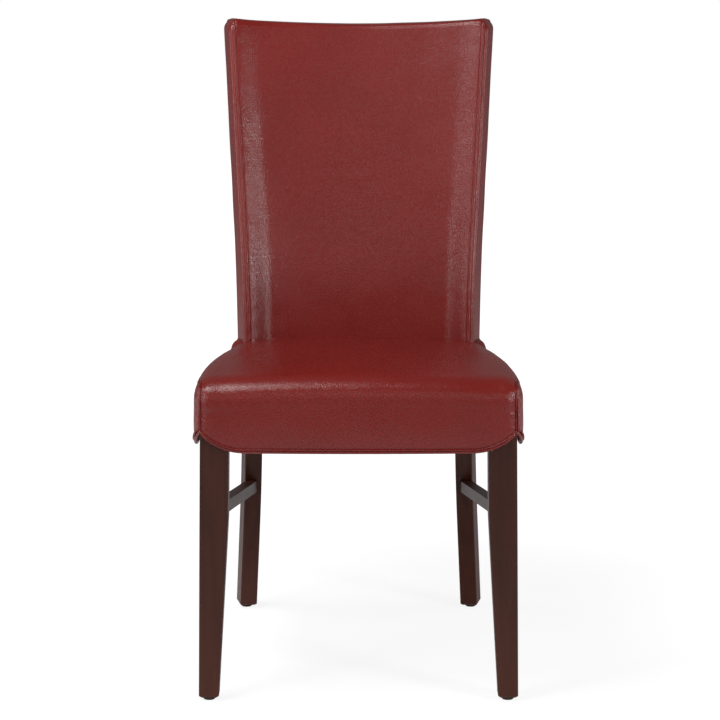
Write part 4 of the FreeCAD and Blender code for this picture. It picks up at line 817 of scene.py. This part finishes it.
# Plan places from the front middle round the right side to the rear middle
def seatOutline(inset):
    places = []
    for step in range(outlineSteps["front"]):
        x = cornerX * step / outlineSteps["front"]
        places.append(Vector((x, lineY(x) + inset, 0)))
    for step in range(outlineSteps["corner"]):
        turn = math.radians(90 * step / outlineSteps["corner"])
        aside = math.sin(turn) ** (2 / seat["cornerPower"])
        ahead = math.cos(turn) ** (2 / seat["cornerPower"])
        x = cornerX + (seat["sideReach"] - inset) * aside
        places.append(Vector((x, cornerY - (seat["frontReach"] - inset) * ahead, 0)))
    sideEnd = rearCorner.y - seat["rearCorner"]
    for step in range(outlineSteps["side"] + 1):
        y = cornerY + (sideEnd - cornerY) * step / outlineSteps["side"]
        places.append(Vector((sideX(y) - inset, y, 0)))
    start = places[-1]
    radius = rearSide - inset
    turned = roundBack(sideArc - seat["rearCorner"], radius + 0.0003)
    corner = roundBack(sideArc - inset, radius)
    for step in range(1, outlineSteps["turn"] + 1):
        share = step / outlineSteps["turn"]
        places.append(start * (1 - share) ** 2 + corner * 2 * share * (1 - share) + turned * share ** 2)
    for step in range(1, outlineSteps["rear"] + 1):
        across = (sideArc - seat["rearCorner"]) * (1 - step / outlineSteps["rear"])
        places.append(roundBack(across, rearRadius(seatBase) - inset))
    return places


# A polyline that is asked for places by distance
class Route:
    def __init__(self, places):
        self.places = places
        self.runs = [0]
        for before, after in zip(places, places[1:]):
            self.runs.append(self.runs[-1] + (after - before).length)
        self.length = self.runs[-1]

    def at(self, distance):
        distance = min(max(distance, 0), self.length)
        low, high = 0, len(self.runs) - 1
        while high - low > 1:
            middle = (low + high) // 2
            if self.runs[middle] <= distance:
                low = middle
            else:
                high = middle
        share = (distance - self.runs[low]) / (self.runs[high] - self.runs[low])
        return self.places[low].lerp(self.places[high], share)

    def heading(self, distance):
        return (self.at(distance + 0.001) - self.at(distance - 0.001)).normalized()

    def distanceWhere(self, test):
        for place, run in zip(self.places, self.runs):
            if test(place):
                return run
        return self.length


outline = Route(seatOutline(0))
frontSeamRun = outline.distanceWhere(lambda place: place.x >= boxingX)
rearSeamRun = outline.distanceWhere(
    lambda place: place.y > rearCorner.y and place.x < roundBack(seamArc, rearSide).x)
print("seat outline:", round(outline.length, 4), round(frontSeamRun, 4), round(rearSeamRun, 4))


# Height of the cover's lower edge above a plan place
def lowerEdge(place):
    nearSide = place.y - boxingY if place.y > boxingY else 0
    nearFront = boxingX - abs(place.x) if abs(place.x) < boxingX else 0
    if place.y > 0:
        return seatBase
    return seatBase + scallopLift(max(nearSide, nearFront))


# How far out from a roll's centre the seam crosses it
def seamShare(centre, foot):
    low, high = 0.2, 1
    if foot.x <= seamX(foot.y):
        return 1
    for step in range(18):
        middle = (low + high) / 2
        place = centre + (foot - centre) * middle
        if place.x > seamX(place.y):
            high = middle
        else:
            low = middle
    return high


# Across runs along the outline from the front seam, along from the top seam down to the edge
def seatBoxingPlace(across, along):
    foot = outline.at(across)
    heading = outline.heading(across)
    beside = smooth((foot.y - backStartY - seat["besideStart"]) / seat["besideRun"])
    roll = seat["rollHeight"] + (seat["shoulderHeight"] - seat["rollHeight"]) * beside
    centre = Vector((cornerX, cornerY, 0))
    if foot.y >= cornerY:
        reach = sideRoll(foot.y)
        reach = reach + (shoulder(foot.y) + 2 * seat["underBack"] - reach) * beside
        centre = foot + Vector((-heading.y, heading.x, 0)) * reach
    if foot.y > backStartY + seat["seamFrom"]:
        seam = 1 - (shoulder(foot.y) + seat["underBack"]) / reach
    else:
        seam = seamShare(centre, foot)
    start = math.asin(min(seam, 1) ** (seat["fullness"] / 2))
    wallTop = crownHeight(foot.x, foot.y) - roll
    low = lowerEdge(foot)
    rollLength = roll * (math.pi / 2 - start)
    share = min(max(along / 0.1, -0.01), 1.02)
    run = share * (rollLength + wallTop - low)
    if run < rollLength:
        out = math.sin(start + run / roll) ** (2 / seat["fullness"])
        rolled = centre + (foot - centre) * out
        rolled.z = crownHeight(rolled.x, rolled.y) - roll * rollFall(out)
    else:
        height = wallTop - (run - rollLength)
        rolled = foot + (foot - centre).normalized() * bulgeAt(height, wallTop)
        rolled.z = height
    return rolled


def seatBoxingRelief(across, along, point):
    soft = 0.0006 * unevenness(point, 0.07, 80)
    fromSeam = across - frontSeamRun
    high = hump(point.z - pucker["height"], 0.02)
    puckers = pucker["boxing"] * high * hump(fromSeam, pucker["seam"]) * math.sin(point.z / 0.0022)
    seam = seamRelief(along * 0.9) if point.y < backStartY else 0
    return soft + puckers + seam


besideRun = outline.distanceWhere(lambda place: place.y > backStartY + seat["besideStart"])
sideAcross = tucked(spread(frontSeamRun + 0.0003, rearSeamRun - 0.0002, 0.0045, 0.0008, 0.03,
                           [frontSeamRun, besideRun, rearSeamRun]))
sideAlong = tucked(spread(0.0002, 0.1, 0.0035, 0.0007, 0.012, [0, back["stitchInset"]]), atHigh=False)
sideAlong += [(0.1, seat["edgeTuck"]), (0.1, seat["edgeDepth"])]
build("seatSideBoxing", sideAcross, sideAlong, seatBoxingPlace, seatBoxingRelief, 1,
      ["seat_side_boxing_%s"], sides=(-1, 1))
print("seat boxings ready")

# The welt: a covered cord sewn under the cover's lower edge
welt = {"radius": 0.0027, "inset": 0.0008, "gap": 0.0003, "spacing": 0.0022, "sides": 14, "wobble": 0.035}


def weltRoute():
    right = [place.copy() for place in seatOutline(welt["inset"])]
    for place in right:
        place.z = lowerEdge(place) - welt["gap"] - welt["radius"]
    left = [Vector((-place.x, place.y, place.z)) for place in right[::-1]]
    return Route(left[:-1] + right)


# A round cord along a route, closed at both ends
def tubeShape(route, radius, spacing, sides, wobble):
    shape = bmesh.new()
    rings = max(round(route.length / spacing), 2)
    bmesh.ops.create_grid(shape, x_segments=sides, y_segments=rings, size=0.5)
    for vertex in shape.verts:
        angle = (vertex.co.x + 0.5) * 2 * math.pi
        distance = (vertex.co.y + 0.5) * route.length
        heading = route.heading(distance)
        up = (Vector((0, 0, 1)) - heading * heading.z).normalized()
        aside = heading.cross(up)
        centre = route.at(distance)
        grown = radius * (1 + wobble * noise.noise(centre * 130))
        vertex.co = centre + (up * math.cos(angle) + aside * math.sin(angle)) * grown
    bmesh.ops.remove_doubles(shape, verts=shape.verts, dist=radius * 0.05)
    bmesh.ops.holes_fill(shape, edges=[edge for edge in shape.edges if edge.is_boundary])
    bmesh.ops.recalc_face_normals(shape, faces=shape.faces)
    return shape


weltShape = tubeShape(weltRoute(), welt["radius"], welt["spacing"], welt["sides"], welt["wobble"])
weltPiece = meshPiece("seatWelt", weltShape, leather)
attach(weltPiece, "root")
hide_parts("seat_welt")
print("welt ready")


# Topstitching: short threads that dip into the leather at each end
stitch = {"pitch": 0.0034, "length": 0.0027, "radius": 0.0005, "lift": 0.55, "dip": 0.7, "spots": 260}


# A row along places with their outward directions, by distance
def stitchRow(name, places, outwards):
    radius = stitch["radius"]
    route = Route(places)
    shape = bmesh.new()
    count = int(route.length / stitch["pitch"])
    for index in range(count):
        middle = (index + 0.5) * route.length / count
        centre = route.at(middle)
        heading = route.heading(middle)
        share = middle / route.length * (len(outwards) - 1)
        outward = outwards[min(int(share + 0.5), len(outwards) - 1)]
        aside = heading.cross(outward).normalized()
        made = bmesh.ops.create_uvsphere(shape, u_segments=6, v_segments=5, radius=1)
        for vertex in made["verts"]:
            along, side, up = vertex.co.z, vertex.co.x, vertex.co.y
            lift = radius * (up + stitch["lift"] - stitch["dip"] * along ** 2)
            lengthwise = heading * (along * stitch["length"] / 2)
            vertex.co = centre + lengthwise + aside * (side * radius) + outward * lift
    bmesh.ops.recalc_face_normals(shape, faces=shape.faces)
    piece = meshPiece(name, shape, thread)
    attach(piece, "root")


# Places and normals along a line drawn on a surface
def followRow(place, relief, stops, outward, side, heart=None):
    places, normals = [], []
    for across, along in stops:
        point = laidOver(place, relief, (across, 0), (along, 0), outward, heart)
        above = laidOver(place, relief, (across, -0.001), (along, -0.001), outward, heart)
        normal = (above - point).normalized()
        places.append(Vector((point.x * side, point.y, point.z)))
        normals.append(Vector((normal.x * side, normal.y, normal.z)))
    return places, normals


def rowSpots(low, high):
    return [low + (high - low) * step / stitch["spots"] for step in range(stitch["spots"] + 1)]


backRow = [(seamArc - back["stitchInset"], spot) for spot in rowSpots(0.02, backLength - 0.004)]
seatRow = [(boxingX - back["stitchInset"], spot) for spot in rowSpots(0.012, 0.297)]
boxingEnd = outline.distanceWhere(lambda place: place.y > backStartY)
boxingRow = [(spot, 0.0042) for spot in rowSpots(frontSeamRun + 0.004, boxingEnd)]
for label, side in (("Left", -1), ("Right", 1)):
    threads = followRow(backPanelPlace, backPanelRelief, backRow, -1, side, panelHeart)
    stitchRow("backSeamStitches" + label, *threads)
    threads = followRow(seatCoverPlace, seatCoverRelief, seatRow, 1, side)
    stitchRow("seatSeamStitches" + label, *threads)
    threads = followRow(seatBoxingPlace, seatBoxingRelief, boxingRow, 1, side)
    stitchRow("seatBoxingStitches" + label, *threads)
print("stitches ready")

# Dust cover: black cloth stapled up under the rails
cloth = {"sag": 0.0035, "flatEdge": 0.03, "cuts": 24}


def dustClothPiece():
    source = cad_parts["dust_cover"]
    shape = bmesh.new()
    shape.from_mesh(source.data)
    bmesh.ops.transform(shape, matrix=source.matrix_world, verts=shape.verts)
    bmesh.ops.remove_doubles(shape, verts=shape.verts, dist=0.00001)
    width, length = dustHigh.x - dustLow.x, dustHigh.y - dustLow.y
    for low, reach, normal in ((dustLow.x, width, Vector((1, 0, 0))), (dustLow.y, length, Vector((0, 1, 0)))):
        for step in range(1, cloth["cuts"]):
            spot = normal * (low + reach * step / cloth["cuts"])
            everything = shape.verts[:] + shape.edges[:] + shape.faces[:]
            bmesh.ops.bisect_plane(shape, geom=everything, plane_co=spot, plane_no=normal, dist=0.00001)
    middleY = (dustLow.y + dustHigh.y) / 2
    for vertex in shape.verts:
        sideways = 1 - smooth(abs(vertex.co.x) / (width / 2 - cloth["flatEdge"]))
        lengthways = 1 - smooth(abs(vertex.co.y - middleY) / (length / 2 - cloth["flatEdge"]))
        vertex.co.z -= cloth["sag"] * min(sideways, lengthways) + 0.0004 * noise.noise(vertex.co * 30)
    piece = meshPiece("dustCloth", shape, materials["dustCloth"])
    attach(piece, "root")
    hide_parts("dust_cover")


dustClothPiece()
staple = {"wire": 0.0006, "crown": 0.010, "pitch": 0.048, "inset": 0.006, "sideInset": 0.010, "ease": 0.00012}


# Wire crowns pressed flat against the cloth's edge, one strip along each rail
def staples():
    spots = []
    frontReach = cornerX * 0.8
    count = round(2 * frontReach / staple["pitch"])
    for step in range(count + 1):
        x = frontReach * (2 * step / count - 1)
        spots.append((Vector((x, dustLow.y + staple["inset"], dustLow.z)), Vector((1, 0, 0))))
    low, high = legHigh.y + 0.02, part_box("rear_seat_rail")[0].y - 0.02
    railLow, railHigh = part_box("side_seat_rail_right")
    railThickness = 0.023
    slant = Vector((railLow.x + railThickness - railHigh.x, railHigh.y - railLow.y, 0))
    way = slant.normalized()
    count = round((high - low) / staple["pitch"])
    for step in range(count + 1):
        y = low + (high - low) * step / count
        x = railHigh.x + slant.x * (y - railLow.y) / slant.y - staple["sideInset"]
        for side in (-1, 1):
            spots.append((Vector((x * side, y, dustLow.z)), Vector((way.x * side, way.y, 0))))
    reach = framing["kneeRadius"] + 0.002
    for step in range(7):
        across = innerArc * 0.8 * (step / 3 - 1)
        centre = roundBack(across, reach)
        ahead = roundBack(across + 0.001, reach)
        spots.append((Vector((centre.x, centre.y, dustLow.z)), (ahead - centre).normalized()))
    shape = bmesh.new()
    wire = staple["wire"]
    for centre, way in spots:
        made = bmesh.ops.create_cube(shape, size=1)
        aside = Vector((-way.y, way.x, 0))
        for vertex in made["verts"]:
            place = vertex.co.copy()
            vertex.co = centre + way * (place.x * staple["crown"]) + aside * (place.y * wire * 1.6)
            vertex.co.z = centre.z + place.z * wire - wire * 0.2
    bmesh.ops.bevel(shape, geom=shape.edges[:], offset=staple["ease"], segments=1, affect="EDGES",
                    profile=0.5, material=-1)
    piece = meshPiece("dustClothStaples", shape, materials["steel"])
    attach(piece, "root")


staples()
print("underside ready")


# Finishes of the pieces that keep the frame's own shape
finishes = [
    ("leg", "stainedUpright"),
    ("post", "stainedUpright"),
    ("stretcher", "stainedLengthwise"),
    ("dowels", "frameLengthwise"),
    ("screw", "steel"),
    ("nail", "steel"),
    ("padding", "wadding"),
    ("wadding", "wadding"),
    ("side_seat_rail", "frameLengthwise"),
    ("block", "frameAcross"),
    ("rail", "frameAcross"),
    ("back_web", "backWebbing"),
    ("web", "webbing"),
    ("glide", "glide"),
    ("foam", "foam"),
]


# The first finish whose word is in the node's name
def finishFor(node):
    return next(finish for word, finish in finishes if word in node)


for node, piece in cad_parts.items():
    if not piece.hide_render:
        piece.data.materials.clear()
        piece.data.materials.append(materials[finishFor(node)])
print("finishes ready")

# Edges of the bare timber catch a little light
easing = {"width": 0.0006, "angle": math.radians(25)}
for node in ("front_leg_left", "front_leg_right", "back_post_left", "back_post_right",
             "side_stretcher_left", "side_stretcher_right"):
    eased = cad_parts[node].modifiers.new("easedEdges", "BEVEL")
    eased.width = easing["width"]
    eased.segments = 2
    eased.limit_method = "ANGLE"
    eased.angle_limit = easing["angle"]

# Floor, backdrop and light
studio = {
    "worldTone": 0.16,
    "floorReach": 8,
    "floorGlow": 1.13,
    "glowAtFeet": 0.76,
    "softboxes": {  # place, aim, size and power in watts
        "overheadBox": ((-0.95, -0.62, 2.4), (-0.1, -0.1, 0.5), (1.2, 0.9), 33),
        "rightBox": ((2.0, -1.7, 1.25), (0, 0, 0.75), (0.5, 0.9), 25),
        "leftBox": ((-2.0, -1.8, 1.25), (0, 0, 0.75), (0.5, 0.9), 13),
        "frontWall": ((0, -4.6, 2.3), (0, 0, 0.7), (3.4, 0.9), 17),
        "rightFill": ((2.9, 0.5, 0.9), (0, 0, 0.6), (1.2, 1.2), 15),
        "leftFill": ((-2.9, 0.5, 0.9), (0, 0, 0.6), (1.2, 1.2), 15),
    },
}


# Pale floor; the camera sees it brightened, least of all about the feet, where the shadows stay
def floorMaterial():
    graph = Graph("floor", {"Base Color": (0.9, 0.9, 0.9, 1), "Roughness": 0.9, "Specular IOR Level": 0.1})
    seen = graph.node("ShaderNodeLightPath", {}, {}, "Is Camera Ray")
    away = graph.node("ShaderNodeVectorMath", {"operation": "LENGTH"}, {0: graph.place()}, "Value")
    glow = graph.node("ShaderNodeEmission", {}, {"Color": (1, 1, 1, 1), "Strength": studio["floorGlow"]})
    least = studio["glowAtFeet"]
    share = seen * (away.between(0.45, 1.3) * (1 - least) + least)
    mixed = graph.node("ShaderNodeMixShader", {}, {0: share, 2: glow})
    graph.tree.links.new(graph.surface.outputs["BSDF"], mixed.socket.node.inputs[1])
    graph.tree.links.new(mixed.socket, graph.tree.nodes["Material Output"].inputs["Surface"])
    return graph.material


floorShape = bmesh.new()
bmesh.ops.create_grid(floorShape, x_segments=1, y_segments=1, size=studio["floorReach"])
meshPiece("floor", floorShape, floorMaterial())

world = bpy.data.worlds.new("studio")
bpy.context.scene.world = world
world.use_nodes = True
sky = world.node_tree
background = sky.nodes["Background"]
background.inputs["Color"].default_value = (*[studio["worldTone"]] * 3, 1)
seenSky = sky.nodes.new("ShaderNodeBackground")
seenSky.inputs["Color"].default_value = (1, 1, 1, 1)
path = sky.nodes.new("ShaderNodeLightPath")
choose = sky.nodes.new("ShaderNodeMixShader")
sky.links.new(path.outputs["Is Camera Ray"], choose.inputs[0])
sky.links.new(background.outputs[0], choose.inputs[1])
sky.links.new(seenSky.outputs[0], choose.inputs[2])
sky.links.new(choose.outputs[0], sky.nodes["World Output"].inputs["Surface"])


def softbox(name, place, aim, size, power):
    lamp = bpy.data.lights.new(name, "AREA")
    lamp.shape = "RECTANGLE"
    lamp.size, lamp.size_y = size
    lamp.energy = power
    holder = bpy.data.objects.new(name, lamp)
    holder.location = place
    holder.rotation_euler = (Vector(aim) - Vector(place)).to_track_quat("-Z", "Y").to_euler()
    bpy.context.scene.collection.objects.link(holder)


for name, setting in studio["softboxes"].items():
    softbox(name, *setting)
print("studio ready")

# Camera: its place and aim were worked out from the legs and the seat in the photograph
view = {
    "focal": 120.55,
    "sensor": 36,
    "ahead": 3.4065,
    "height": 1.12608,
    "aside": 0.0022,
    "pitch": math.radians(10.23),
}
cameraData = bpy.data.cameras.new("camera")
cameraData.lens = view["focal"]
cameraData.sensor_width = view["sensor"]
camera = bpy.data.objects.new("camera", cameraData)
camera.location = (view["aside"], frontY - view["ahead"], view["height"])
camera.rotation_euler = (math.pi / 2 - view["pitch"], 0, 0)
bpy.context.scene.collection.objects.link(camera)
bpy.context.scene.camera = camera
bpy.context.scene.view_settings.view_transform = "Standard"

print("scene ready")
